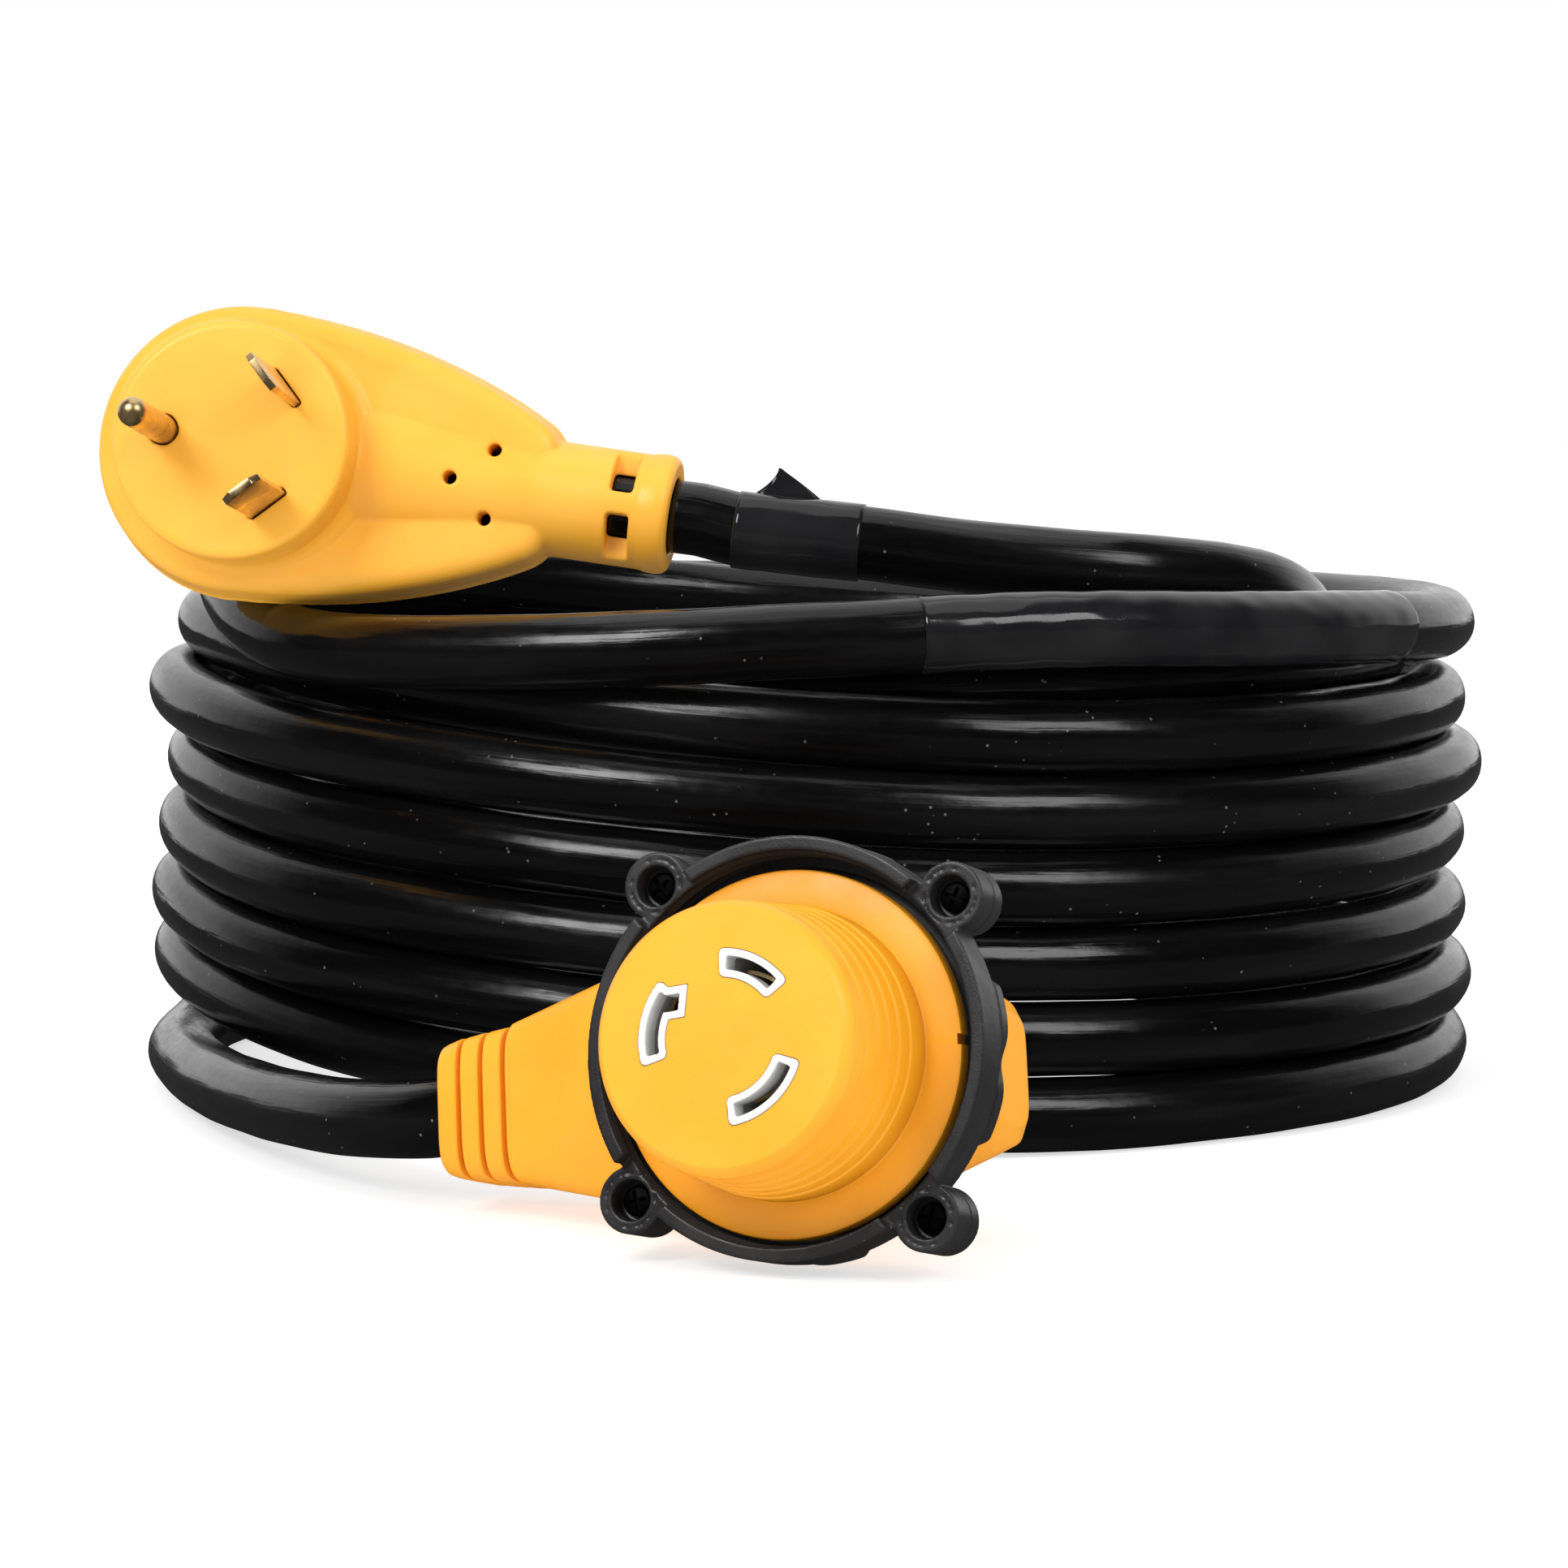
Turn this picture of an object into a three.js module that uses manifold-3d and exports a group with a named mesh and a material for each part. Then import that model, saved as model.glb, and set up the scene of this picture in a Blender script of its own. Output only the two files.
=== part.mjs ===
// A 30 A shore power cord, coiled on the floor: a side-exit plug with two flat blades and a round
// ground pin, a three-conductor cable wound in a round stack, and a right-angle locking connector
// whose threaded ring spins about its nose. Millimetres, +Z up, the floor is z = 0.
import * as THREE from 'three';
import { mergeVertices } from 'three/addons/utils/BufferGeometryUtils.js';
import { ConvexGeometry } from 'three/addons/geometries/ConvexGeometry.js';
import Module from 'manifold-3d';

const wasm = await Module();
wasm.setup();

// ---- driving dimensions -------------------------------------------------------------------
const GAP = 0.3;                 // between touching solids
const CABLE_D = 15.5;            // jacket over three 10 AWG conductors
const CABLE_R = CABLE_D / 2;
const WIRE_R = 2.5;              // one insulated conductor
const COIL = { x: 0.3, y: 77.65 };  // centre of the stack on the floor
const COIL_R = 145;              // centreline of the outer turns
const INNER_R = 129;             // centreline of the turn nested inside
const COIL_TOP = 112;
const COIL_TURNS = 7;

// plug, in its own frame: x along the cable, y up its face, z out of its face, face at z = 0
const PLUG = { at: [-122.9, -118, 148.8], yaw: -6, pitch: 8.3, roll: -8.1 };
const FACE_R = 25.3;             // raised round face
const FACE_H = 14;               // its height over the flat front of the body
const HEAD_R = 31;               // round end of the body
const BODY_T = 26;               // thickness of the body
const NECK_R = 12;
const NECK_END = 91.5;
const AXIS_Z = -(FACE_H + BODY_T / 2);   // mid-plane of the body, on the cable's axis
const BLADE = { x: 10.1, y: 12.3, width: 9, thick: 1.6, length: 26.5 };
const PIN = { x: -14.5, r: 3.1, length: 30 };

// connector, in its own frame: x away from the cable, z out of the nose, flange front at z = 0
const CONN = { at: [-4.4, -270, 39.9], yaw: -23, pitch: 12.7, roll: 7.8 };
const NOSE_R = 25.2;
const NOSE_L = 31;
const FLANGE_R = 33.2;
const FLANGE_T = 4;
const THROAT_R = 28;             // waist that the ring turns on
const ARM_Z = -41;               // axis of the cable arm
const ARM_END = -86;             // mouth of the boot
const SLOT_R = 13.3;             // circle of the three socket slots

// locking ring, about the connector's z axis
const RING_R = 39.1;
const RING_BORE = 36.2;
const RING_FRONT = 5;
const RING_SPLIT = -4.35;
const RING_BACK = -9;
const EAR = { at: 41.1, r: 6.2, bore: 3.9, front: 2, first: 37.8 };

// ---- materials ----------------------------------------------------------------------------
const paint = (color, roughness, metalness = 0) =>
  new THREE.MeshStandardMaterial({ color, roughness, metalness });
const yellow = paint(0xfdb933, 0.45);
const black = paint(0x161616, 0.35);
const charcoal = paint(0x3a3a3a, 0.5);
const white = paint(0xf2f2f0, 0.5);
const green = paint(0x1f7a3c, 0.5);
const brass = paint(0xb08d4a, 0.3, 1);
const steel = paint(0x242424, 0.4, 1);
const film = paint(0x0c0c0c, 0.15);

// ---- solids -------------------------------------------------------------------------------
const rad = THREE.MathUtils.degToRad;

function solid(geometry) {
  const bare = geometry.index ? geometry.toNonIndexed() : geometry.clone();
  bare.deleteAttribute('normal');
  bare.deleteAttribute('uv');
  const merged = mergeVertices(bare, 1e-4);
  const mesh = new wasm.Mesh({
    numProp: 3,
    vertProperties: new Float32Array(merged.attributes.position.array),
    triVerts: new Uint32Array(merged.index.array),
  });
  return new wasm.Manifold(mesh);
}

function geometryOf(manifold) {
  const mesh = manifold.getMesh();
  const geometry = new THREE.BufferGeometry();
  geometry.setAttribute('position', new THREE.BufferAttribute(mesh.vertProperties, 3));
  geometry.setIndex(new THREE.BufferAttribute(mesh.triVerts, 1));
  geometry.computeVertexNormals();
  return geometry;
}

const join = (...parts) => parts.map(solid).reduce((a, b) => a.add(b));
const cut = (whole, ...tools) => tools.map(solid).reduce((a, b) => a.subtract(b), whole);

function mesh(name, shape, material) {
  const geometry = shape instanceof THREE.BufferGeometry ? shape : geometryOf(shape);
  const result = new THREE.Mesh(geometry, material);
  result.name = name;
  return result;
}

// a cylinder or cone along z or x, between two stations
function rod(radius, from, to, { x = 0, y = 0, sides = 28, top = radius, axis = 'z' } = {}) {
  const geometry = new THREE.CylinderGeometry(top, radius, to - from, sides);
  geometry.rotateX(Math.PI / 2);
  geometry.translate(0, 0, (from + to) / 2);
  if (axis === 'x') geometry.rotateY(Math.PI / 2);
  return geometry.translate(x, y, 0);
}

function box(x, y, z) {
  const geometry = new THREE.BoxGeometry(x[1] - x[0], y[1] - y[0], z[1] - z[0]);
  return geometry.translate((x[0] + x[1]) / 2, (y[0] + y[1]) / 2, (z[0] + z[1]) / 2);
}

// a profile of [radius, height] pairs turned about z
function turned(profile, sides = 40) {
  const points = profile.map(([r, z]) => new THREE.Vector2(r, z));
  return new THREE.LatheGeometry(points, sides).rotateX(Math.PI / 2);
}

function extruded(shape, from, to, bevel = 0, curveSegments = 12) {
  const geometry = new THREE.ExtrudeGeometry(shape, {
    depth: to - from - 2 * bevel,
    curveSegments,
    bevelEnabled: bevel > 0,
    bevelThickness: bevel,
    bevelSize: bevel,
    bevelOffset: -bevel,
    bevelSegments: 2,
  });
  return geometry.translate(0, 0, from + bevel);
}

const curve = (points) => new THREE.CatmullRomCurve3(points.map((p) => new THREE.Vector3(...p)));

// a full circle is drawn with two points for each of its curve segments
function tube(points, radius, sides, steps) {
  const section = new THREE.Shape().absarc(0, 0, radius, 0, 2 * Math.PI);
  const settings = { steps, curveSegments: sides / 2, extrudePath: curve(points) };
  return new THREE.ExtrudeGeometry(section, settings);
}

// turns a frame that looks along -Y: yaw to its left is negative, pitch is up, roll about its z
function posed({ at, yaw, pitch, roll }) {
  const group = new THREE.Group();
  const about = (x, y, z, angle) =>
    new THREE.Quaternion().setFromAxisAngle(new THREE.Vector3(x, y, z), rad(angle));
  group.quaternion.copy(about(0, 0, 1, yaw)).multiply(about(1, 0, 0, 90 - pitch));
  group.quaternion.multiply(about(0, 0, 1, roll));
  group.position.set(at[0] + COIL.x, at[1] + COIL.y, at[2]);
  group.updateMatrixWorld(true);
  return group;
}

// ---- plug ---------------------------------------------------------------------------------
function plugOutline() {
  const shape = new THREE.Shape();
  shape.moveTo(67, -NECK_R - 0.5);
  shape.lineTo(67, NECK_R + 0.5);
  shape.bezierCurveTo(47, 24.5, 23, 30, 2, HEAD_R - 0.2);
  shape.absarc(-1.5, 0, HEAD_R, rad(84), rad(276), false);
  shape.bezierCurveTo(23, -30, 47, -24.5, 67, -NECK_R - 0.5);
  return shape;
}

const bladeAt = (side) => ({ x: BLADE.x, y: side * BLADE.y, angle: -side * 45 });

function bladeBox({ x, y, angle }, grow, from, to) {
  const w = BLADE.width / 2 + grow;
  const t = BLADE.thick / 2 + grow;
  return box([-w, w], [-t, t], [from, to]).rotateZ(rad(angle)).translate(x, y, 0);
}

const CORE = { r: 19, front: -4, back: -17 };
const CRIMP = { r: 3.2, to: -25 };
const PLUG_JACKET = [46, NECK_END - GAP];
const contactSpots = [{ x: PIN.x, y: 0 }, bladeAt(1), bladeAt(-1)];

function plugOvermold() {
  const rear = -(FACE_H + BODY_T);
  const face = turned([[0, -16], [FACE_R, -16], [FACE_R, -1.5], [FACE_R - 1.5, 0], [0, 0]]);
  const fairing = rod(16.4, 20, 64, { axis: 'x', top: 14.4 }).translate(0, 0, AXIS_Z);
  const neck = rod(NECK_R, 58, NECK_END, { axis: 'x', sides: 36 }).translate(0, 0, AXIS_Z);
  const slab = extruded(plugOutline(), rear, -FACE_H, 4);
  const trim = box([15, 66], [-20, 20], [rear - 8, rear]);
  let body = join(slab, face, cutFairing(fairing, trim), neck);
  const bore = rod(CABLE_R + GAP, PLUG_JACKET[0] - GAP, NECK_END + 1, { axis: 'x' });
  const pocket = rod(CORE.r + GAP, CRIMP.to - 9, CORE.front + GAP);
  const channel = box([4, 47], [-8, 8], [AXIS_Z - 6.5, AXIS_Z + 6.5]);
  const pinHole = rod(PIN.r + GAP, -6, 1, { x: PIN.x, sides: 24 });
  const bladeHoles = [1, -1].map((side) => bladeBox(bladeAt(side), GAP, -6, 1));
  body = cut(body, bore.translate(0, 0, AXIS_Z), pocket, channel, pinHole, ...bladeHoles);
  return cut(body, ...reliefSlots(), ...locatorHoles());
}

function cutFairing(fairing, trim) {
  return geometryOf(cut(solid(fairing), trim));
}

// strain relief windows on both faces of the neck, and the three pin marks of the mould
function reliefSlots() {
  const windows = [];
  for (const side of [1, -1]) {
    for (const face of [1, -1]) {
      const reach = [AXIS_Z + face * 5, AXIS_Z + face * (NECK_R + 1)].sort((a, b) => a - b);
      const across = [side * 2.4, side * (NECK_R + 1)].sort((a, b) => a - b);
      windows.push(box([79.5, 84], across, reach));
    }
  }
  return windows;
}

function locatorHoles() {
  const spots = [[45.3, 0], [53.4, 7.4], [53.4, -7.4]];
  return spots.map(([x, y]) => rod(1.5, -18.5, -5, { x, y, sides: 16 }));
}

function plugCore() {
  const body = solid(rod(CORE.r, CORE.back, CORE.front));
  const holes = [1, -1].map((side) => bladeBox(bladeAt(side), GAP, CORE.back - 1, 1));
  return cut(body, ...holes, rod(PIN.r + GAP, CORE.back - 1, 1, { x: PIN.x, sides: 24 }));
}

function groundPin() {
  const shank = rod(PIN.r, CORE.back - 2, PIN.length - PIN.r, { x: PIN.x, sides: 24 });
  const tip = new THREE.SphereGeometry(PIN.r * 1.001, 16, 8).rotateX(Math.PI / 2);
  const crimp = rod(CRIMP.r, CRIMP.to, CORE.back - GAP, { x: PIN.x, sides: 14 });
  return join(shank, tip.translate(PIN.x, 0, PIN.length - PIN.r), crimp);
}

function blade(side) {
  const spot = bladeAt(side);
  const plate = bladeBox(spot, 0, CORE.back - 2, BLADE.length);
  return join(plate, rod(CRIMP.r, CRIMP.to, CORE.back - GAP, { x: spot.x, y: spot.y, sides: 14 }));
}

function plugWire(index) {
  const { x, y } = contactSpots[index];
  const turn = rad(180 - 120 * index);
  const [ey, ez] = [3.6 * Math.sin(turn), 3.6 * Math.cos(turn)];
  const end = PLUG_JACKET[0] - GAP;
  const low = CRIMP.to - GAP;
  const route = index === 0
    ? [[x + 4.2, y, low - 1.2], [x + 14, y, AXIS_Z - 1.5], [x + 30, 0, AXIS_Z + ez], [end, 0, AXIS_Z + ez]]
    : [[x + 5.9, y * 0.45, AXIS_Z + 0.5], [x + 16, ey * 1.2, AXIS_Z + ez], [end, ey, AXIS_Z + ez]];
  return tube(route, WIRE_R, 8, 12);
}

// a finger loop behind the plug: an arch on two feet
function plugHandle() {
  const rear = -(FACE_H + BODY_T) - GAP;
  const shape = new THREE.Shape();
  shape.moveTo(-20, rear);
  shape.lineTo(-20, rear - 14);
  shape.quadraticCurveTo(-19, rear - 30, -4, rear - 31);
  shape.lineTo(24, rear - 31);
  shape.quadraticCurveTo(42, rear - 30, 46, rear);
  shape.lineTo(34, rear);
  shape.quadraticCurveTo(32, rear - 22, 20, rear - 22);
  shape.lineTo(0, rear - 22);
  shape.quadraticCurveTo(-10, rear - 21, -10, rear - 12);
  shape.lineTo(-10, rear);
  shape.closePath();
  return extruded(shape, -9, 9, 1.5, 6).rotateX(Math.PI / 2);
}

// ---- connector ----------------------------------------------------------------------------
const SLOTS = [
  { name: 'line', angle: 61.5, span: 43, hook: 0 },
  { name: 'ground', angle: 165, span: 48, hook: 1 },
  { name: 'neutral', angle: -53, span: 55, hook: 0 },
];

const slotSpot = ({ angle }) => [SLOT_R * Math.cos(rad(angle)), SLOT_R * Math.sin(rad(angle))];

// a curved band of a given width about the circle of radius r
function arcShape(angle, span, width, r = SLOT_R) {
  const [a, b] = [rad(angle - span / 2), rad(angle + span / 2)];
  const shape = new THREE.Shape();
  shape.absarc(0, 0, r + width / 2, a, b, false);
  shape.absarc(0, 0, r - width / 2, b, a, true);
  shape.closePath();
  return shape;
}

function hookShape(angle, span, grow) {
  const at = rad(angle - span / 2);
  const shape = new THREE.Shape();
  const [w, inner] = [3 + grow, SLOT_R - 4.3 - grow];
  const swing = (r, turn) => [r * Math.cos(at + turn), r * Math.sin(at + turn)];
  shape.moveTo(...swing(inner, -grow / inner));
  shape.lineTo(...swing(SLOT_R, -grow / SLOT_R));
  shape.lineTo(...swing(SLOT_R, w / SLOT_R));
  shape.lineTo(...swing(inner, w / inner));
  shape.closePath();
  return shape;
}

function slotSolid(slot, grow, from, to) {
  const widened = slot.span + 2 * THREE.MathUtils.radToDeg(grow / SLOT_R);
  const arc = extruded(arcShape(slot.angle, widened, SLOT_W + 2 * grow), from, to, 0, 6);
  if (!slot.hook) return solid(arc);
  return solid(arc).add(solid(extruded(hookShape(slot.angle, slot.span, grow), from, to)));
}

const CARRIER = { r: 20.6, back: -8, front: 27.6 };
const SLOT_W = 2.5;
const CRIMP_END = CARRIER.back - 8;
const RIM = 1.7;                 // white wall round each slot
const SLOT_FLOOR = 4;
const CONN_JACKET = [ARM_END + GAP, -46];

function noseProfile() {
  const steps = [24.5, 19.6, 15.3, 11.2, 6.8];
  const profile = [[0, -FLANGE_T], [FLANGE_R - 0.8, -FLANGE_T], [FLANGE_R, -FLANGE_T + 0.8]];
  profile.push([FLANGE_R, -0.8], [FLANGE_R - 0.8, 0], [NOSE_R + 1.8, 0]);
  steps.toReversed().forEach((z, i) => {
    const r = NOSE_R + 0.35 * (steps.length - i);
    profile.push([r, z - 0.4], [r - 0.35, z]);
  });
  profile.push([NOSE_R, NOSE_L - 2.8], [NOSE_R - 1.9, NOSE_L], [0, NOSE_L]);
  return profile;
}

const around = (count, place) =>
  Array.from({ length: count }, (_, i) => place((2 * Math.PI * i) / count));

// a rounded square across the arm, with its flats at half from the arm's axis
const squared = (x, half) =>
  around(20, (t) => {
    const k = half / Math.pow(Math.abs(Math.cos(t)) ** 5 + Math.abs(Math.sin(t)) ** 5, 0.2);
    return new THREE.Vector3(x, k * Math.cos(t), ARM_Z + k * Math.sin(t));
  });

const ARM = { start: -70, startHalf: 15.6, right: 20, rightHalf: 16.5, tip: 29, tipHalf: 9.5 };

// three widening segments with a groove after each, from the mouth to the arm
function bootStack() {
  const [pitch, groove] = [5.1, 1];
  const stations = [[ARM_END, 11.4], [ARM_END + 1.3, 12.7]];
  [13.4, 14.3, 15.2].forEach((half, i) => {
    const end = ARM_END + pitch * (i + 1);
    stations.push([end, half], [end + 0.3, half - 0.9], [end + groove, half - 0.7]);
    stations.push([end + groove + 0.3, half + 0.3]);
  });
  stations.push([ARM.start + 1, ARM.startHalf]);
  const lap = 0.05;
  return stations.slice(1).map(([x, half], i) => {
    const [before, halfBefore] = stations[i];
    return new ConvexGeometry([...squared(before - (i ? lap : 0), halfBefore), ...squared(x, half)]);
  });
}

// a shoulder behind the ring, with a flat towards the arm, and the squarish arm under it
function bodyHull() {
  const flat = -31.4;
  const shoulder = (radius, z) =>
    around(28, (t) => [Math.max(radius * Math.cos(t), flat), radius * Math.sin(t), z])
      .map((point) => new THREE.Vector3(...point));
  return new ConvexGeometry([
    ...shoulder(31.5, RING_BACK - 1.5), ...shoulder(32.5, RING_BACK - 3),
    ...squared(ARM.start, ARM.startHalf), ...squared(ARM.right, ARM.rightHalf),
    ...squared(ARM.tip, ARM.tipHalf),
  ]);
}

function connectorOvermold() {
  const throat = rod(THROAT_R, RING_BACK - 4, -FLANGE_T + 1, { sides: 36 });
  const body = join(turned(noseProfile(), 36), throat, bodyHull(), ...bootStack());
  const bore = rod(CABLE_R + GAP, ARM_END - 1, CONN_JACKET[1] + GAP, { axis: 'x' });
  const pocket = rod(CARRIER.r + GAP, CRIMP_END - 1, CARRIER.front + GAP);
  const wireWell = rod(11.5, -46, CRIMP_END, { top: 18 });
  const groundDrop = box([-22, 0], [-6, 6], [ARM_Z, CRIMP_END]);
  const channel = box([-47, 0], [-7.5, 7.5], [ARM_Z - 7.5, ARM_Z + 7.5]);
  const windows = SLOTS.map((slot) => slotSolid(slot, RIM + GAP, CARRIER.front, NOSE_L + 1));
  const hollows = [bore.translate(0, 0, ARM_Z), pocket, wireWell, groundDrop, channel];
  return windows.reduce((a, b) => a.subtract(b), cut(body, ...hollows));
}

function contactCarrier() {
  let body = solid(rod(CARRIER.r, CARRIER.back, CARRIER.front));
  for (const slot of SLOTS) {
    body = body.add(slotSolid(slot, RIM, CARRIER.front - 1, NOSE_L + 0.2));
  }
  for (const slot of SLOTS) {
    body = body.subtract(slotSolid(slot, 0, CARRIER.front - 3, NOSE_L + 1));
    body = body.subtract(slotSolid(slot, 0.9, SLOT_FLOOR, CARRIER.front - 2));
    const [x, y] = slotSpot(slot);
    body = body.subtract(solid(rod(2.3, CARRIER.back - 1, SLOT_FLOOR + 1, { x, y, sides: 16 })));
  }
  return body;
}

// a folded spring contact: two curved leaves on a floor, with a crimp barrel behind
function socketContact(slot) {
  const { angle, span } = slot;
  const seat = SLOT_FLOOR + GAP;
  const [inner, outer] = [-1.6, 1.6].map((off) => arcShape(angle, span, 0.7, SLOT_R + off));
  const leaves = [inner, outer].map((leaf) => extruded(leaf, seat, CARRIER.front - 4, 0, 6));
  const base = extruded(arcShape(angle, span, 3.9), seat, SLOT_FLOOR + 1.5, 0, 6);
  const [x, y] = slotSpot(slot);
  const stem = rod(2, CARRIER.back - 1, SLOT_FLOOR + 1, { x, y, sides: 16 });
  const crimp = rod(3.2, CRIMP_END, CARRIER.back - GAP, { x, y, sides: 16 });
  return join(...leaves, base, stem, crimp);
}

// straight down from its crimp, then round into the arm: the ground wire lies above the other two
function connectorWire(index) {
  const [x, y] = slotSpot(SLOTS[index]);
  const turn = rad([120, 0, -120][index]);
  const [ey, ez] = [3.4 * Math.sin(turn), ARM_Z + 3.4 * Math.cos(turn)];
  const reach = SLOTS[index].hook ? 11 : 19;
  const start = CRIMP_END - 2 * GAP;
  const bend = [[x * 0.94, y * 0.94, start - 8], [x - reach / 3, y * 0.7, -34.5], [x - reach, y * 0.35, ez]];
  const end = [CONN_JACKET[1] + GAP, ey, ez];
  return tube([[x, y, start], ...bend, end], WIRE_R, 8, 12);
}

// ---- locking ring -------------------------------------------------------------------------
const earAngles = [0, 1, 2, 3].map((i) => EAR.first + 90 * i);
const earSpot = (angle) => ({ x: EAR.at * Math.cos(rad(angle)), y: EAR.at * Math.sin(rad(angle)) });

function ringFront() {
  const profile = [[RING_R, RING_SPLIT], [RING_R, RING_FRONT - 0.4], [RING_R - 0.4, RING_FRONT]];
  profile.push([RING_BORE, RING_FRONT]);
  for (const z of [2.6, -0.6]) {
    profile.push([RING_BORE, z + 0.6], [RING_BORE - 0.8, z], [RING_BORE, z - 0.6]);
  }
  profile.push([RING_BORE, RING_SPLIT], [RING_R, RING_SPLIT]);
  let body = solid(turned(profile, 40));
  for (const angle of earAngles) {
    const notch = box([RING_BORE - 3, RING_R + 2], [-6.2, 6.2], [EAR.front, RING_FRONT + 1]);
    body = body.subtract(solid(notch.rotateZ(rad(angle))));
    const ear = rod(EAR.r, RING_SPLIT, EAR.front, { ...earSpot(angle), sides: 18 });
    body = body.add(solid(ear).subtract(solid(rod(RING_BORE, RING_SPLIT - 1, 6, { sides: 40 }))));
  }
  for (const angle of earAngles) {
    const spot = { ...earSpot(angle), sides: 14 };
    body = cut(body, rod(EAR.bore, -2.4, RING_FRONT, spot), rod(1.8, RING_SPLIT - 1, 0, spot));
  }
  return body;
}

// one broad grip pad between each pair of ears
function gripOutline() {
  const shape = new THREE.Shape();
  const steps = 72;
  for (let i = 0; i < steps; i += 1) {
    const angle = (360 * i) / steps;
    const fromPad = Math.abs((((angle - EAR.first) % 90) + 90) % 90 - 45);
    const pad = THREE.MathUtils.smoothstep(24 - fromPad, 0, 8);
    const r = 36.9 + 1.9 * pad;
    const point = [r * Math.cos(rad(angle)), r * Math.sin(rad(angle))];
    if (i === 0) shape.moveTo(...point);
    else shape.lineTo(...point);
  }
  shape.closePath();
  return shape;
}

function ringRear() {
  const top = RING_SPLIT - GAP;
  let body = solid(extruded(gripOutline(), RING_BACK, top));
  for (const angle of earAngles) {
    body = body.add(solid(rod(EAR.r, RING_BACK, top, { ...earSpot(angle), sides: 18 })));
  }
  const web = RING_BACK + 3.2;
  body = cut(body, rod(THROAT_R + 0.5, RING_BACK - 1, 0, { sides: 36 }));
  body = cut(body, rod(34, web, 0, { sides: 36 }));
  for (const angle of earAngles) {
    body = cut(body, rod(1.8, RING_BACK + 1, 0, { ...earSpot(angle), sides: 14 }));
  }
  return body;
}

function ringScrew(angle) {
  const spot = earSpot(angle);
  const head = rod(2.8, -2.1, -0.4, { ...spot, sides: 14 });
  const shank = rod(1.5, RING_BACK + 1.5, -2, { ...spot, sides: 8 });
  const drive = box([-1.9, 1.9], [-0.4, 0.4], [-1.2, 0]).translate(spot.x, spot.y, 0);
  const cross = box([-0.4, 0.4], [-1.9, 1.9], [-1.2, 0]).translate(spot.x, spot.y, 0);
  return cut(join(head, shank), drive, cross);
}

// ---- cable --------------------------------------------------------------------------------
const shifted = (points) => points.map(([x, y, z]) => [x + COIL.x, y + COIL.y, z]);

function local(group, x, y, z) {
  const point = new THREE.Vector3(x, y, z).applyMatrix4(group.matrixWorld);
  return [point.x - COIL.x, point.y - COIL.y, point.z];
}

function coilStack() {
  const pitch = COIL_TOP / COIL_TURNS;
  const [out, inside] = [COIL_R + CABLE_R, COIL_R - CABLE_R];
  const profile = [];
  for (let i = 0; i < COIL_TURNS; i += 1) {
    const z = i * pitch;
    profile.push([out - 3.2, z], [out, z + pitch / 2]);
  }
  profile.push([out - 3.2, COIL_TOP], [inside + 3, COIL_TOP], [inside, COIL_TOP - 4]);
  const innerWall = INNER_R - CABLE_R;
  profile.push([inside, 104], [innerWall + 3, 104], [innerWall, 100], [innerWall, 76]);
  profile.push([innerWall + 3, 72], [inside, 72], [inside, 4], [inside + 3, 0], [out - 3.2, 0]);
  return turned(profile, 36).translate(COIL.x, COIL.y, 0);
}

const PLUG_LEAD = [
  [-15.4, -104.6, 129.2], [12.8, -107.5, 126.2], [34.4, -109, 123.5], [51.5, -109, 122],
  [69, -105.5, 120.6], [87, -94, 118.2], [97.9, -82.1, 114],
];
const BOOT_LEAD = [
  [-136.5, -86, 9.8], [-129.5, -112, 10.9], [-121.5, -130, 11.9], [-113, -147, 13],
  [-102.8, -171.5, 14.6], [-93.5, -186.5, 15.9],
];

// ---- labels -------------------------------------------------------------------------------
function labelSleeve(path) {
  const spots = [0.1, 0.31].map((t) => path.getPointAt(t));
  const [start, end] = spots;
  const length = start.distanceTo(end);
  const [rin, rout] = [CABLE_R + 0.7, CABLE_R + 1];
  const wall = turned([[rin, 0], [rout, 0], [rout, length], [rin, length], [rin, 0]], 28);
  const aim = end.clone().sub(start).normalize();
  wall.applyQuaternion(new THREE.Quaternion().setFromUnitVectors(new THREE.Vector3(0, 0, 1), aim));
  return wall.translate(start.x, start.y, start.z);
}

function labelCorner(path) {
  const shape = new THREE.Shape([[-4.5, 0], [5, 0], [0, 5.6]].map((p) => new THREE.Vector2(...p)));
  const at = path.getPointAt(0.185);
  const flag = extruded(shape, -0.25, 0.25).rotateX(Math.PI / 2).rotateZ(rad(-4));
  return flag.translate(at.x, at.y, at.z + CABLE_R + 1.9);
}

// ---- assembly -----------------------------------------------------------------------------
const object = new THREE.Group();
const plug = posed(PLUG);
const connector = posed(CONN);
object.add(plug, connector);

plug.add(mesh('plug_overmold', plugOvermold(), yellow));
plug.add(mesh('plug_contact_core', plugCore(), white));
plug.add(mesh('plug_ground_pin', groundPin(), brass));
plug.add(mesh('plug_line_blade', blade(1), brass));
plug.add(mesh('plug_neutral_blade', blade(-1), brass));
['ground', 'line', 'neutral'].forEach((name, i) => {
  plug.add(mesh(`plug_${name}_wire`, plugWire(i), [green, black, white][i]));
});
const plugJacket = rod(CABLE_R, ...PLUG_JACKET, { axis: 'x' }).translate(0, 0, AXIS_Z);
plug.add(mesh('plug_jacket_end', plugJacket, black));
plug.add(mesh('plug_finger_handle', plugHandle(), yellow));

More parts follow.
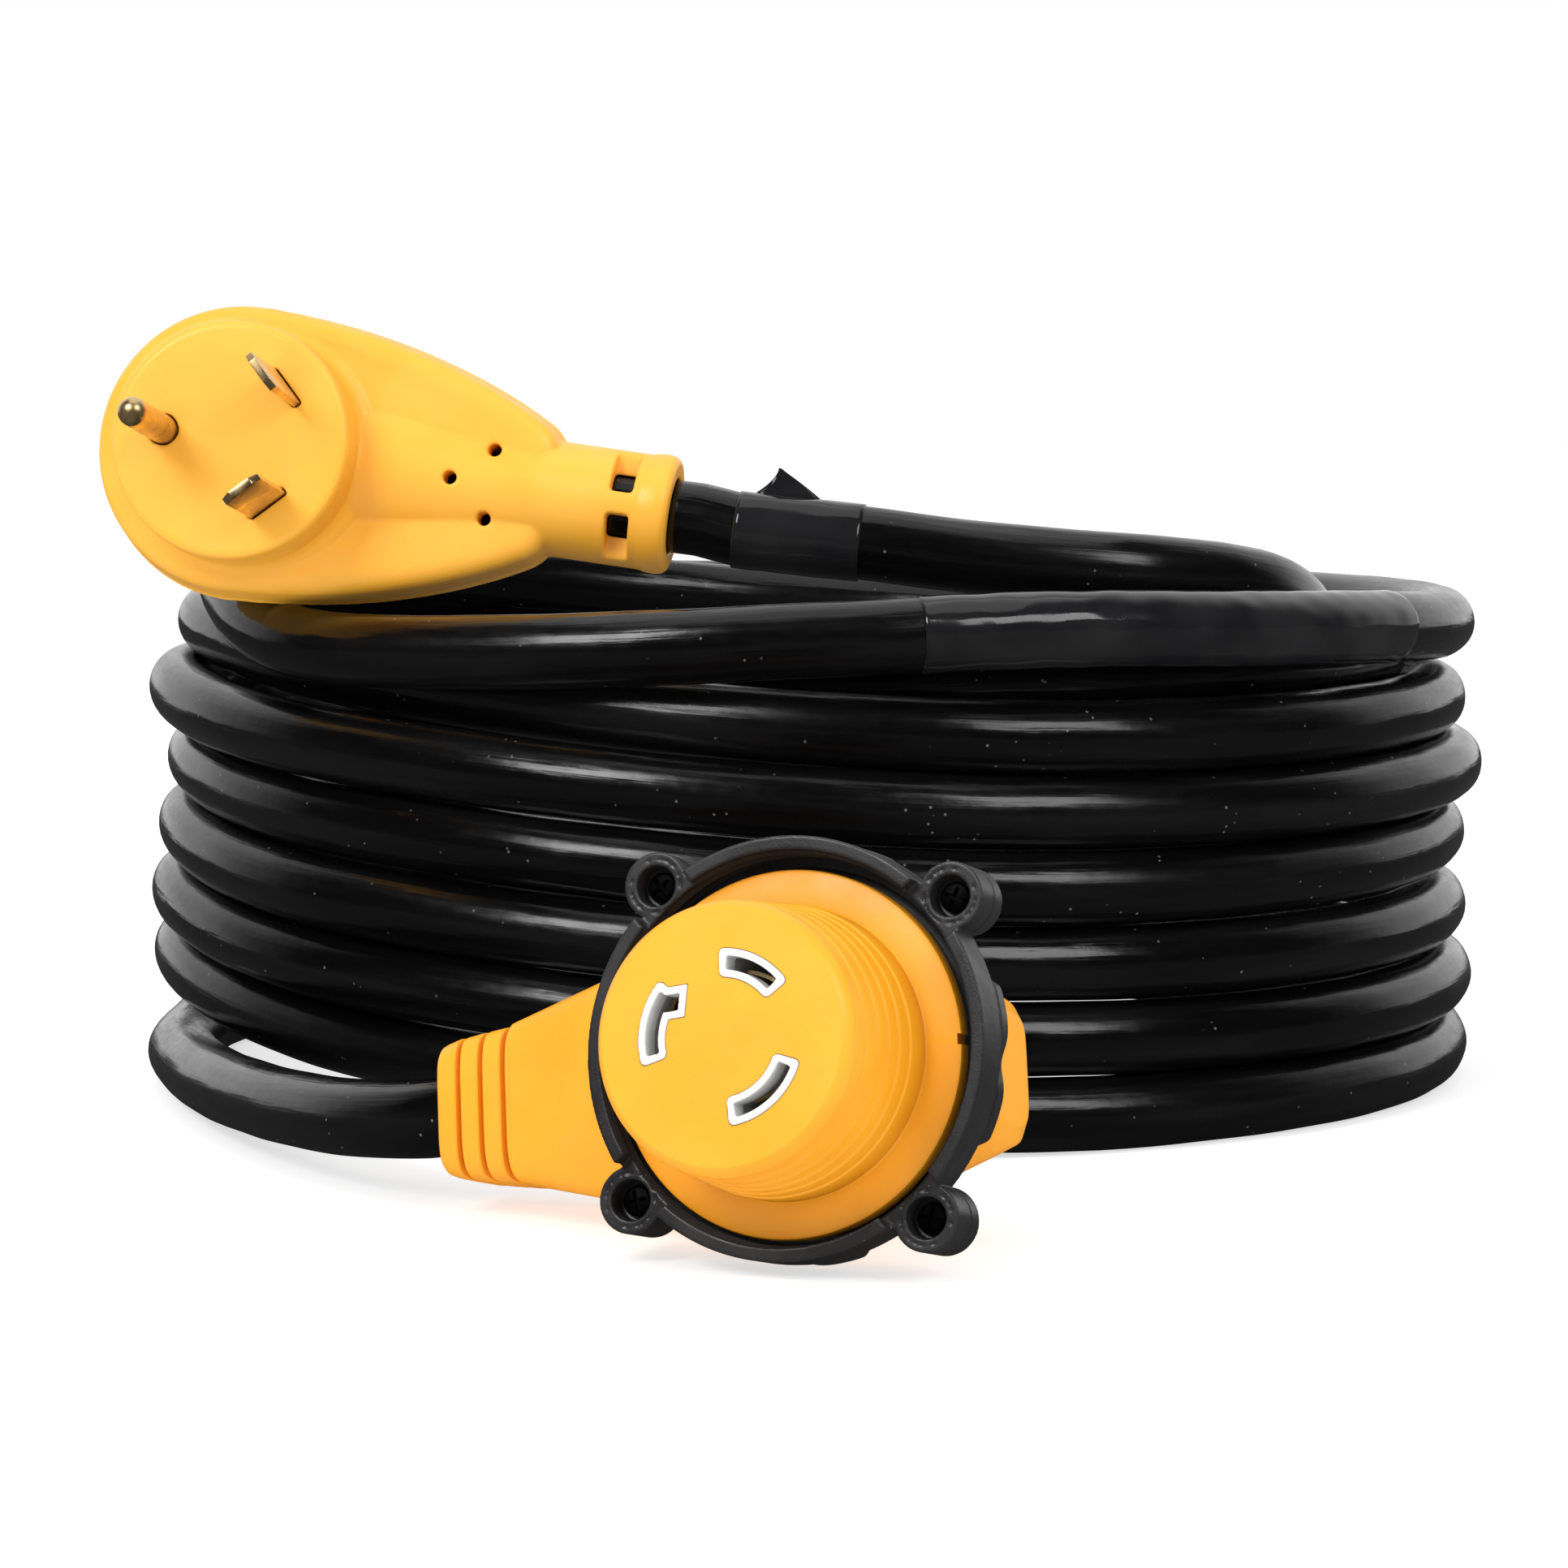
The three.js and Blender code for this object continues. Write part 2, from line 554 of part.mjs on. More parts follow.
connector.add(mesh('connector_overmold', connectorOvermold(), yellow));
connector.add(mesh('connector_contact_carrier', contactCarrier(), white));
SLOTS.forEach((slot, i) => {
  connector.add(mesh(`connector_${slot.name}_contact`, socketContact(slot), brass));
  const colour = { line: black, ground: green, neutral: white }[slot.name];
  connector.add(mesh(`connector_${slot.name}_wire`, connectorWire(i), colour));
});
const bootJacket = rod(CABLE_R, ...CONN_JACKET, { axis: 'x' }).translate(0, 0, ARM_Z);
connector.add(mesh('connector_jacket_end', bootJacket, black));

connector.add(mesh('ring_threaded_front', ringFront(), charcoal));
connector.add(mesh('ring_rear_retainer', ringRear(), charcoal));
earAngles.forEach((angle, i) => {
  connector.add(mesh(`ring_screw_${i + 1}`, ringScrew(angle), steel));
});

const plugExit = local(plug, NECK_END + GAP, 0, AXIS_Z);
const plugLead = shifted([plugExit, ...PLUG_LEAD]);
const [bootAhead, bootMouth] = [10, GAP].map((x) => local(connector, ARM_END - x, 0, ARM_Z));
const bootLead = shifted([...BOOT_LEAD, bootAhead, bootMouth]);
object.add(mesh('cable_plug_lead', tube(plugLead, CABLE_R, 12, 16), black));
object.add(mesh('cable_coil', coilStack(), black));
object.add(mesh('cable_connector_lead', tube(bootLead, CABLE_R, 12, 12), black));

const leadPath = curve(plugLead);
object.add(mesh('label_sleeve', labelSleeve(leadPath), film));
object.add(mesh('label_corner', labelCorner(leadPath), film));

export default object;
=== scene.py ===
"""Looks for a shore power cord: seven stacked turns of black cable, a yellow plug lying on top and
a yellow twist-lock connector with a black locking ring in front. Sizes are millimetres until a mesh
is made, in the CAD frame: +Z up, the connector and both contact faces towards -Y."""

import math

import bmesh
import bpy
import numpy as np
from mathutils import Matrix, Quaternion, Vector, noise


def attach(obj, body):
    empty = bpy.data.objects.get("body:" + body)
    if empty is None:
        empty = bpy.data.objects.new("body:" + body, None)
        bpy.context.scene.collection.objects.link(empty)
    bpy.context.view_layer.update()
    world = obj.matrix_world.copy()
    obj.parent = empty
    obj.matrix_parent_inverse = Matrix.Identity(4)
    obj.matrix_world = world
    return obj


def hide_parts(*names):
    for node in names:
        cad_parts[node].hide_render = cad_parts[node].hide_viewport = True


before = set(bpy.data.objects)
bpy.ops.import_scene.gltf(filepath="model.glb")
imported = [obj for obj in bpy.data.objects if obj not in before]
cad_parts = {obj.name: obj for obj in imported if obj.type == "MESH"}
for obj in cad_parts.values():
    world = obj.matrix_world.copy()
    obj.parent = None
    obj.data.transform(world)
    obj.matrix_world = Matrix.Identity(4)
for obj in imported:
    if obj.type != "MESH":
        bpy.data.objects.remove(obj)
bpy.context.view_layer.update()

MM = 0.001
COIL = Vector((0.3, 77.65, 0))      # centre of the stack on the floor
CABLE_D = 15.5
CABLE_R = CABLE_D / 2

# ---- camera ---------------------------------------------------------------------------------
LENS, SENSOR = 115.5, 36
EYE = Vector((-5.7, -1102.3, 165))
TILT_DOWN = 4.8


def make_camera():
    data = bpy.data.cameras.new("camera")
    data.lens, data.sensor_width = LENS, SENSOR
    camera = bpy.data.objects.new("camera", data)
    camera.location = EYE * MM
    camera.rotation_euler = (math.radians(90 - TILT_DOWN), 0, 0)
    bpy.context.scene.collection.objects.link(camera)
    bpy.context.scene.camera = camera


make_camera()

# ---- where the plug and the connector stand ---------------------------------------------------
# each has its own frame, as in the CAD: z out of its contact face, x along its cable arm


def posed(at, yaw, pitch, roll):
    turn = Quaternion((0, 0, 1), math.radians(yaw))
    turn = turn @ Quaternion((1, 0, 0), math.radians(90 - pitch))
    turn = turn @ Quaternion((0, 0, 1), math.radians(roll))
    return Matrix.Translation(Vector(at) + COIL) @ turn.to_matrix().to_4x4()


PLUG = posed((-122.9, -118, 148.8), -6, 8.3, -8.1)
CONNECTOR = posed((-4.4, -270, 39.9), -23, 12.7, 7.8)
PLUG_AXIS_Z, PLUG_MOUTH = -27, 91.5      # the cable's axis under the face, and where it leaves
ARM_Z, ARM_MOUTH = -41, -86
ARM_Y = -1.6      # the arm hangs a little under the nose's axis

# ---- the cable's route ------------------------------------------------------------------------
# from the plug to the top of the stack, then down under the front of the top turn
PLUG_LEAD = [
    (-15.4, -104.6, 129.2), (12.8, -107.5, 126.2), (34.4, -109, 123.5), (51.5, -109, 122),
    (69, -105.5, 120.6),
]
# one hidden turn inside the stack and the loose top turn: (angle from the right, radius, height)
INNER_TURNS = [
    (-47.2, 128.1, 118.6), (-40, 128.3, 116), (-28, 123, 110), (-13, 115.8, 100), (6, 116, 88),
    (30, 122, 80.5), (60, 127.5, 79), (90, 128.3, 80), (180, 127, 82), (225, 121, 84),
    (249, 121.5, 91.5), (270, 128, 97), (315, 130.5, 97.5), (360, 131, 97), (405, 130, 98),
    (450, 128.5, 103), (500, 128.5, 113), (540, 131, 118.5), (555, 136, 117.5), (566, 141.5, 113),
    (575, 146, 107.5), (585, 148.5, 104.2), (600, 148, 104.3), (615, 147, 105.8), (630, 146, 107.8),
    (650, 145.5, 109.6), (680, 145.5, 107.6), (705, 146.5, 105.5),
]
# each outer turn's radius and height as it passes the right, left, front left and front
RIGHT = [(147, 105), (145, 88), (149, 72.9), (145, 57.2), (145.5, 40), (147, 23.8), (146, 8)]
LEFT = [(140, 105.5), (146, 91), (142, 74.7), (144, 59.6), (146, 44), (146, 29.2)]
FRONT_LEFT = [(132.5, 97), (146, 83), (143.5, 66.8), (146, 50.9), (145, 35.1), (141, 19)]
FRONT = [(143.5, 87), (145, 71.4), (146, 55.6), (145.3, 39.8), (145.3, 23.9), (146.3, 8.1)]
BACK = [105, 88, 71, 54.9, 39.2, 23.6]    # the turns nestle closer at the back
STACK_START = 720     # the angle where the outer turns begin
ROUTE_GAP = 4         # between the route's points
CLEARANCE = 0.05      # between the lowest turn and the floor
COIL_LABEL = [(638, 145.7, 108.6), (690, 146, 106.8)]     # where the long film starts and ends
BOOT_LEAD = [
    (-144.2, -32, 8.1), (-141.5, -49.5, 8.1), (-136, -73, 8.5), (-128.1, -100.4, 9.3),
    (-117.8, -129, 10.6), (-105.5, -156.6, 12.1), (-91.4, -180.4, 13.9), (-76.8, -196.9, 16.2),
]


def smooth_through(stations, values, at):
    """Cubic curve through values at uneven stations, read at the places asked for."""
    t, v = np.array(stations, float), np.array(values, float)
    slope = np.empty_like(v)
    slope[1:-1] = (v[2:] - v[:-2]) / (t[2:] - t[:-2])[:, None]
    slope[0], slope[-1] = (v[1] - v[0]) / (t[1] - t[0]), (v[-1] - v[-2]) / (t[-1] - t[-2])
    i = np.clip(np.searchsorted(t, at, side="right") - 1, 0, len(t) - 2)
    step = (t[i + 1] - t[i])[:, None]
    s = (at - t[i])[:, None] / step
    start = (2 * s**3 - 3 * s**2 + 1) * v[i] + (s**3 - 2 * s**2 + s) * step * slope[i]
    return start + (3 * s**2 - 2 * s**3) * v[i + 1] + (s**3 - s**2) * step * slope[i + 1]


def stations_of_stack():
    places = list(INNER_TURNS)
    for k, (left, corner, front) in enumerate(zip(LEFT, FRONT_LEFT, FRONT)):
        right, angle = RIGHT[k], STACK_START + 360 * k
        places.append((angle, *right))
        places.append((angle + 90, 145, BACK[k]))
        places += [(angle + 180, *left), (angle + 225, *corner), (angle + 290, *front)]
    end = STACK_START + 360 * len(LEFT)
    return places + [(end, *RIGHT[-1]), (end + 90, 144, 8), (end + 180, 144, 8.2)]


def spaced(points, gap):
    """The same line with its points a fixed distance apart."""
    run = np.concatenate([[0], np.cumsum(np.linalg.norm(np.diff(points, axis=0), axis=1))])
    count = int(round(run[-1] / gap))
    return smooth_through(run, points, np.linspace(0, run[-1], count + 1))


def cable_route():
    places = stations_of_stack()
    angles = np.arange(places[0][0], places[-1][0] + 0.1, 2.5)
    ring = smooth_through([p[0] for p in places], [p[1:] for p in places], angles)
    turn = np.radians(angles)
    stack = np.stack([ring[:, 0] * np.cos(turn), ring[:, 0] * np.sin(turn), ring[:, 1]], axis=1)
    leads = [np.array([Vector(p) + COIL for p in lead]) for lead in (PLUG_LEAD, BOOT_LEAD)]
    exits = [PLUG @ Vector((PLUG_MOUTH + x, 0, PLUG_AXIS_Z)) for x in (-1.5, 2.5, 7)]
    mouth = [CONNECTOR @ Vector((ARM_MOUTH + x, ARM_Y, ARM_Z)) for x in (-0.3, 14)]
    points = np.vstack([exits, leads[0], stack + np.array(COIL), leads[1], mouth])
    line = spaced(points, ROUTE_GAP)
    line[:, 2] = np.maximum(line[:, 2], CABLE_R + CLEARANCE)
    return line


# ---- mesh helpers: everything is built in millimetres, then placed in metres -------------------


def mesh_of(vertices, faces):
    mesh = bpy.data.meshes.new("shape")
    mesh.from_pydata([tuple(v) for v in vertices], [], faces)
    bm = bmesh.new()
    bm.from_mesh(mesh)
    bmesh.ops.recalc_face_normals(bm, faces=bm.faces)
    bm.to_mesh(mesh)
    bm.free()
    return mesh


def moved(mesh, matrix):
    mesh.transform(matrix)
    return mesh


def shifted(mesh, x=0.0, y=0.0, z=0.0):
    return moved(mesh, Matrix.Translation((x, y, z)))


def turned(mesh, degrees, axis="Z"):
    return moved(mesh, Matrix.Rotation(math.radians(degrees), 4, axis))


def lathe(profile, sides=96, closed=False, wave=None):
    """A profile of (radius, height) turned about z. wave(height, angle) may change the radius."""
    vertices, rings, faces = [], [], []
    for radius, height in profile:
        if radius < 1e-6:
            rings.append([len(vertices)] * sides)
            vertices.append((0, 0, height))
            continue
        rings.append(list(range(len(vertices), len(vertices) + sides)))
        for i in range(sides):
            angle = 2 * math.pi * i / sides
            r = radius + (wave(height, angle) if wave else 0)
            vertices.append((r * math.cos(angle), r * math.sin(angle), height))
    pairs = list(zip(rings, rings[1:])) + ([(rings[-1], rings[0])] if closed else [])
    for low, high in pairs:
        for i in range(sides):
            k = (i + 1) % sides
            face = list(dict.fromkeys((low[i], low[k], high[k], high[i])))
            if len(face) > 2:
                faces.append(face)
    return mesh_of(vertices, faces)


def along_x(mesh, z=0.0):
    return shifted(turned(mesh, 90, "Y"), z=z)


def rod(radius, low, high, x=0.0, y=0.0, sides=64, top=None):
    top = radius if top is None else top
    return shifted(lathe([(0, low), (radius, low), (top, high), (0, high)], sides), x, y)


def loft(sections):
    """Rings with the same number of points, joined in order and capped."""
    count = len(sections[0])
    vertices = [p for ring in sections for p in ring]
    faces = [list(range(count)), list(range(len(vertices) - count, len(vertices)))]
    for s in range(len(sections) - 1):
        for i in range(count):
            k = (i + 1) % count
            low, high = s * count, (s + 1) * count
            faces.append([low + i, low + k, high + k, high + i])
    return mesh_of(vertices, faces)


def prism(outline, low, high):
    return loft([[(x, y, z) for x, y in outline] for z in (low, high)])


def block(x, y, z):
    return prism([(x[0], y[0]), (x[1], y[0]), (x[1], y[1]), (x[0], y[1])], *z)


def hull(points):
    mesh = bpy.data.meshes.new("hull")
    bm = bmesh.new()
    for point in points:
        bm.verts.new(point)
    bmesh.ops.convex_hull(bm, input=bm.verts, use_existing_faces=False)
    loose = [v for v in bm.verts if not v.link_faces]
    bmesh.ops.delete(bm, geom=loose, context="VERTS")
    bmesh.ops.recalc_face_normals(bm, faces=bm.faces)
    bm.to_mesh(mesh)
    bm.free()
    return mesh


def combined(base, joins=(), cuts=(), voxel=0.0, rounding=0):
    """Solids joined and cut, and with voxel > 0 remeshed and rounded like a moulding."""
    solids = [bpy.data.objects.new("solid", mesh) for mesh in (base, *joins, *cuts)]
    for solid in solids:
        bpy.context.scene.collection.objects.link(solid)
    main = solids[0]
    for i, tool in enumerate(solids[1:]):
        change = main.modifiers.new("change", "BOOLEAN")
        change.operation = "UNION" if i < len(joins) else "DIFFERENCE"
        change.solver, change.object = "EXACT", tool
    if voxel:
        remesh = main.modifiers.new("remesh", "REMESH")
        remesh.mode, remesh.voxel_size = "VOXEL", voxel
    if rounding:
        soften = main.modifiers.new("soften", "SMOOTH")
        soften.factor, soften.iterations = 0.5, rounding
    depsgraph = bpy.context.evaluated_depsgraph_get()
    mesh = bpy.data.meshes.new_from_object(main.evaluated_get(depsgraph))
    for solid in solids:
        bpy.data.objects.remove(solid)
    return mesh


def new_object(name, mesh, look, body="cord", place=None, crease=None):
    """Makes a piece. place puts a mesh in millimetres where it belongs; crease keeps sharp edges."""
    if place is not None:
        mesh.transform(Matrix.Scale(MM, 4) @ place)
    mesh.name = name
    mesh.materials.clear()
    mesh.materials.append(look)
    mesh.polygons.foreach_set("use_smooth", [True] * len(mesh.polygons))
    mesh.polygons.foreach_set("material_index", [0] * len(mesh.polygons))
    if crease:
        mesh.set_sharp_from_angle(angle=math.radians(crease))
    piece = bpy.data.objects.new(name, mesh)
    bpy.context.scene.collection.objects.link(piece)
    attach(piece, body)
    return piece


def tube_mesh(name, points, radius_at, sides):
    """A tube along points, whose rings don't twist, with uv of length and turn in metres."""
    points = [Vector(p) for p in points]
    mesh = bpy.data.meshes.new(name)
    bm = bmesh.new()
    layer = bm.loops.layers.uv.new("run")
    ahead = [(b - a).normalized() for a, b in zip(points, points[1:])]
    ahead.append(ahead[-1])
    side = ahead[0].orthogonal().normalized()
    rings, run = [], [0.0]
    for i, point in enumerate(points):
        along = (ahead[max(i - 1, 0)] + ahead[i]).normalized()
        side = (side - along * side.dot(along)).normalized()
        up = along.cross(side)
        if i:
            run.append(run[-1] + (point - points[i - 1]).length)
        ring = []
        for j in range(sides):
            angle = 2 * math.pi * j / sides
            out = side * math.cos(angle) + up * math.sin(angle)
            ring.append(bm.verts.new((point + out * radius_at(run[i], angle, out)) * MM))
        rings.append(ring)
    girth = 2 * math.pi * CABLE_R
    for i in range(len(points) - 1):
        for j in range(sides):
            k = (j + 1) % sides
            face = bm.faces.new((rings[i][j], rings[i][k], rings[i + 1][k], rings[i + 1][j]))
            spots = [(i, j), (i, j + 1), (i + 1, j + 1), (i + 1, j)]
            for loop, (a, b) in zip(face.loops, spots):
                loop[layer].uv = (run[a] * MM, b / sides * girth * MM)
    bm.faces.new(list(reversed(rings[0])))
    bm.faces.new(rings[-1])
    bm.to_mesh(mesh)
    bm.free()
    return mesh


# ---- materials --------------------------------------------------------------------------------


class Look:
    """A procedural material under construction: a Principled shader and short node calls."""

    def __init__(self, name, roughness=0.5, metallic=0.0, **sockets):
        self.made = bpy.data.materials.new(name)
        self.made.use_nodes = True
        self.tree = self.made.node_tree
        self.shader = self.tree.nodes["Principled BSDF"]
        self.shader.inputs["Roughness"].default_value = roughness
        self.shader.inputs["Metallic"].default_value = metallic
        for socket, value in sockets.items():
            self.shader.inputs[socket.replace("_", " ")].default_value = value
        self.place = self.tree.nodes.new("ShaderNodeTexCoord").outputs["Object"]
        self.height = None

    def node(self, kind, settings=(), **inputs):
        node = self.tree.nodes.new("ShaderNode" + kind)
        for key, value in dict(settings).items():
            setattr(node, key, value)
        for key, value in inputs.items():
            socket = node.inputs[int(key[1:]) if key[1:].isdigit() else key.replace("_", " ")]
            if isinstance(value, bpy.types.NodeSocket):
                self.tree.links.new(value, socket)
            else:
                socket.default_value = value
        return node

    def noise(self, scale, detail=3.0, vector=None, stretch=None):
        vector = vector or self.place
        if stretch:
            scaled = self.node("VectorMath", {"operation": "MULTIPLY"}, _0=vector, _1=stretch)
            vector = scaled.outputs[0]
        return self.node("TexNoise", Vector=vector, Scale=scale, Detail=detail).outputs["Fac"]

    def ramp(self, value, low, high, start, end):
        """start to end as the value goes from low to high"""
        node = self.node("MapRange", {"interpolation_type": "SMOOTHSTEP"}, Value=value)
        span = {"From Min": low, "From Max": high, "To Min": start, "To Max": end}
        for key, number in span.items():
            node.inputs[key].default_value = number
        return node.outputs["Result"]

    def mix(self, amount, first, second):
        node = self.node("Mix", {"data_type": "RGBA"})
        amount_in, first_in, second_in = node.inputs[0], node.inputs[6], node.inputs[7]
        for socket, value in ((amount_in, amount), (first_in, first), (second_in, second)):
            if isinstance(value, bpy.types.NodeSocket):
                self.tree.links.new(value, socket)
            else:
                socket.default_value = value if isinstance(value, float) else (*value, 1)
        return node.outputs[2]

    def sum(self, first, second, kind="ADD"):
        return self.node("Math", {"operation": kind}, _0=first, _1=second).outputs[0]

    def use(self, socket, value):
        self.tree.links.new(value, self.shader.inputs[socket])

    def bump(self, value, distance, strength=1.0):
        node = self.node("Bump", Height=value, Distance=distance, Strength=strength)
        if self.height:
            self.tree.links.new(self.height, node.inputs["Normal"])
        self.height = node.outputs["Normal"]
        self.use("Normal", self.height)


def moulded(name, light, dark, rough, grain=0.00002, patch=45.0, dust=None, **sockets):
    """Moulded plastic or vinyl: cloudy colour, fine grain, uneven gloss and specks of dust."""
    look = Look(name, **sockets)
    cloud = look.ramp(look.noise(patch, 4.0), 0.35, 0.65, 0.0, 1.0)
    color = look.mix(cloud, light, dark)
    if dust:
        spots = look.node("TexVoronoi", Vector=look.place, Scale=420.0, Randomness=1.0)
        near = look.ramp(spots.outputs["Distance"], 0.03, 0.09, 1.0, 0.0)
        some = look.ramp(look.noise(170.0, 2.0), 0.56, 0.62, 0.0, 1.0)
        color = look.mix(look.sum(near, some, "MULTIPLY"), color, dust)
    look.use("Base Color", color)
    look.use("Roughness", look.ramp(look.noise(120.0, 5.0), 0.3, 0.7, rough[0], rough[1]))
    look.bump(look.noise(2400.0, 2.0), grain)
    look.bump(look.noise(260.0, 3.0), grain * 2.5, 0.6)
    return look.made


def jacket_look(name, color=(0.0016, 0.0016, 0.0018), pale=(0.0042, 0.0042, 0.0045), uv=True):
    """Extruded rubber: fine lines along the run, patches of gloss, scuffs and dust."""
    look = Look(name, Specular_IOR_Level=0.46)
    if uv:
        run = look.tree.nodes.new("ShaderNodeUVMap")
        run.uv_map = "run"
        lines = look.noise(1.0, 2.0, run.outputs["UV"], (22.0, 2400.0, 1.0))
        drag = look.noise(1.0, 3.0, run.outputs["UV"], (14.0, 160.0, 1.0))
        mottle = look.noise(1.0, 4.0, run.outputs["UV"], (260.0, 520.0, 1.0))
    else:
        lines, drag, mottle = look.noise(900.0), look.noise(40.0), look.noise(320.0, 4.0)
    worn = look.ramp(drag, 0.42, 0.7, 0.0, 1.0)
    tone = look.mix(worn, color, pale)
    spots = look.node("TexVoronoi", Vector=look.place, Scale=330.0, Randomness=1.0)
    near = look.ramp(spots.outputs["Distance"], 0.06, 0.13, 1.0, 0.0)
    some = look.ramp(look.noise(90.0, 2.0), 0.53, 0.6, 0.0, 0.9)
    specks = look.sum(near, some, "MULTIPLY")
    look.use("Base Color", look.mix(specks, tone, (0.12, 0.12, 0.115)))
    smear, grit = look.ramp(drag, 0.3, 0.7, 0.12, 0.24), look.ramp(mottle, 0.3, 0.7, 0.0, 0.05)
    gloss = look.sum(smear, grit)
    look.use("Roughness", gloss)
    look.bump(mottle, 0.00006, 0.8)
    look.bump(lines, 0.00003, 0.8)
    look.bump(drag, 0.0007, 0.7)
    return look.made


def metal_look(name, light, dark, rough, lines=(40.0, 40.0, 1500.0)):
    look = Look(name, metallic=1.0)
    stain = look.ramp(look.noise(170.0, 4.0), 0.38, 0.66, 0.0, 1.0)
    look.use("Base Color", look.mix(stain, light, dark))
    look.use("Roughness", look.ramp(look.noise(300.0, 4.0), 0.3, 0.7, rough[0], rough[1]))
    look.bump(look.noise(1.0, 2.0, stretch=lines), 0.00001, 0.6)
    return look.made


# the plug's yellow is painted paler than the connector's, a lit copy of the same vinyl standing in
# for the stronger light on the plug at the top of the stack
yellow = moulded("yellow_vinyl_painted_paler_plug", (0.965, 0.47, 0.05), (0.94, 0.435, 0.036), (0.34, 0.46),
                 dust=(0.95, 0.58, 0.2), Specular_IOR_Level=0.42)
deep_yellow = moulded("yellow_connector_vinyl", (0.96, 0.405, 0.02), (0.93, 0.37, 0.013),
                      (0.34, 0.46), dust=(0.95, 0.52, 0.14), Specular_IOR_Level=0.38)
jacket = jacket_look("cable_jacket")
plain_jacket = jacket_look("jacket_end", uv=False)
ring_look = moulded("ring_plastic", (0.024, 0.024, 0.025), (0.016, 0.016, 0.017), (0.28, 0.42),
                    grain=0.00003, dust=(0.11, 0.11, 0.11), Specular_IOR_Level=0.45)
white_look = moulded("white_core", (0.7, 0.7, 0.69), (0.64, 0.64, 0.62), (0.3, 0.42))
brass_look = metal_look("contact_metal", (0.84, 0.62, 0.33), (0.7, 0.48, 0.22), (0.24, 0.42))
steel_look = metal_look("screw_steel", (0.006, 0.006, 0.0065), (0.003, 0.003, 0.0032), (0.45, 0.65))
film_look = moulded("label_film", (0.007, 0.007, 0.008), (0.014, 0.014, 0.015), (0.05, 0.16),
                    grain=0.00001)
wire_looks = {
    "green": moulded("green_insulation", (0.02, 0.22, 0.06), (0.015, 0.17, 0.045), (0.35, 0.5)),
    "black": moulded("black_insulation", (0.012, 0.012, 0.012), (0.02, 0.02, 0.02), (0.35, 0.5)),
    "white": moulded("white_insulation", (0.85, 0.85, 0.83), (0.76, 0.76, 0.73), (0.35, 0.5)),
}

# ---- cable ------------------------------------------------------------------------------------
route = cable_route()
LAY = 95.0       # one twist of the three conductors, which shows faintly through the jacket
JACKET_SIDES = 36


def cable_surface(run, angle, out):
    lobes = 0.05 * math.cos(3 * (angle - 2 * math.pi * run / LAY))
    return CABLE_R + 0.07 + lobes + 0.06 * math.sin(run / 23.0) * math.sin(run / 61.0 + 1)


cable_mesh = tube_mesh("cable", route, cable_surface, JACKET_SIDES)
cable = new_object("cable", cable_mesh, jacket)
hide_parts("cable_plug_lead", "cable_coil", "cable_connector_lead")
steps = np.linalg.norm(np.diff(route, axis=0), axis=1)
run_of_route = np.concatenate([[0], np.cumsum(steps)])

# ---- film labels: a short sleeve by the plug, with its free corner, and a long one on the coil ---


def stretch_of_route(start, end):
    keep = (run_of_route >= start) & (run_of_route <= end)
    run = run_of_route[keep]
    return smooth_through(run, route[keep], np.arange(run[0], run[-1], 1.0))


def run_at(angle, radius, height):
    """How far along the cable it passes a place on the stack."""
    turn = math.radians(angle)
    spot = np.array(COIL + Vector((radius * math.cos(turn), radius * math.sin(turn), height)))
    return run_of_route[np.argmin(np.linalg.norm(route - spot, axis=1))]


def film_sleeve(name, start, end, radius, seam, slot="label_film"):
    """A wrapped film whose overlap stands proud along a seam, with small wrinkles."""
    line = stretch_of_route(start, end)

    def surface(run, angle, out):
        from_seam = abs((angle - seam + math.pi) % (2 * math.pi) - math.pi)
        fold = 0.22 * max(0.0, 1 - from_seam / 0.5)
        wrinkle = noise.noise(Vector((run * 0.16, math.cos(angle) * 2, math.sin(angle) * 2)))
        return radius + fold + 0.16 * wrinkle

    return new_object(name, tube_mesh(name, line, surface, 48), film_look)


PLUG_LABEL = (14.5, 46)
plug_label = film_sleeve("label_sleeve_plug", *PLUG_LABEL, CABLE_R + 0.55, 1.2)
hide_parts("label_sleeve")
film_sleeve("label_sleeve_coil", *[run_at(*p) for p in COIL_LABEL], CABLE_R + 0.3, 2.0)


def film_corner():
    """The free corner of the wrapped film: a thin pointed flap on top of the sleeve."""
    line = stretch_of_route(*PLUG_LABEL)
    middle, along = Vector(line[10]), Vector(line[16] - line[3]).normalized()
    up = Vector((0, 0, 1))
    rows = []
    for i in range(9):
        t = i / 8
        half = 7.4 * (1 - t) ** 1.15 + 0.25
        lift = CABLE_R + 0.2 + 6.2 * t
        lean = 1.2 + 0.8 * t - 2.6 * t * t
        back = Vector((0, 1.6 * math.sin(t * 2.2), 0))
        foot = middle + up * lift + back
        rows.append([foot + along * (lean + half * s) for s in np.linspace(-1, 1, 9)])
    thick = Vector((0, 0.22, 0))
    sheet = [row + [p + thick for p in reversed(row)] for row in rows]
    return new_object("label_corner_flap", loft(sheet), film_look,
                      place=Matrix())


flap = film_corner()
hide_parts("label_corner")

# ---- plug -------------------------------------------------------------------------------------
FACE_R, FACE_H, HEAD_R, BODY_T = 25.3, 14, 31, 26
BLADE = {"x": 10.1, "y": 12.3, "half": 4.5, "thick": 1.6, "length": 26.5}
PIN = {"x": -14.5, "r": 3.1, "length": 30}
ROOT = -19        # where the blades and the pin end inside the body
SLACK = 0.3       # between the cable and its bores


def bezier(a, b, c, d, count):
    out = []
    for i in range(count):
        t = i / count
        w = ((1 - t) ** 3, 3 * (1 - t) ** 2 * t, 3 * (1 - t) * t * t, t**3)
        out.append(tuple(sum(k * p[n] for k, p in zip(w, (a, b, c, d))) for n in (0, 1)))
    return out


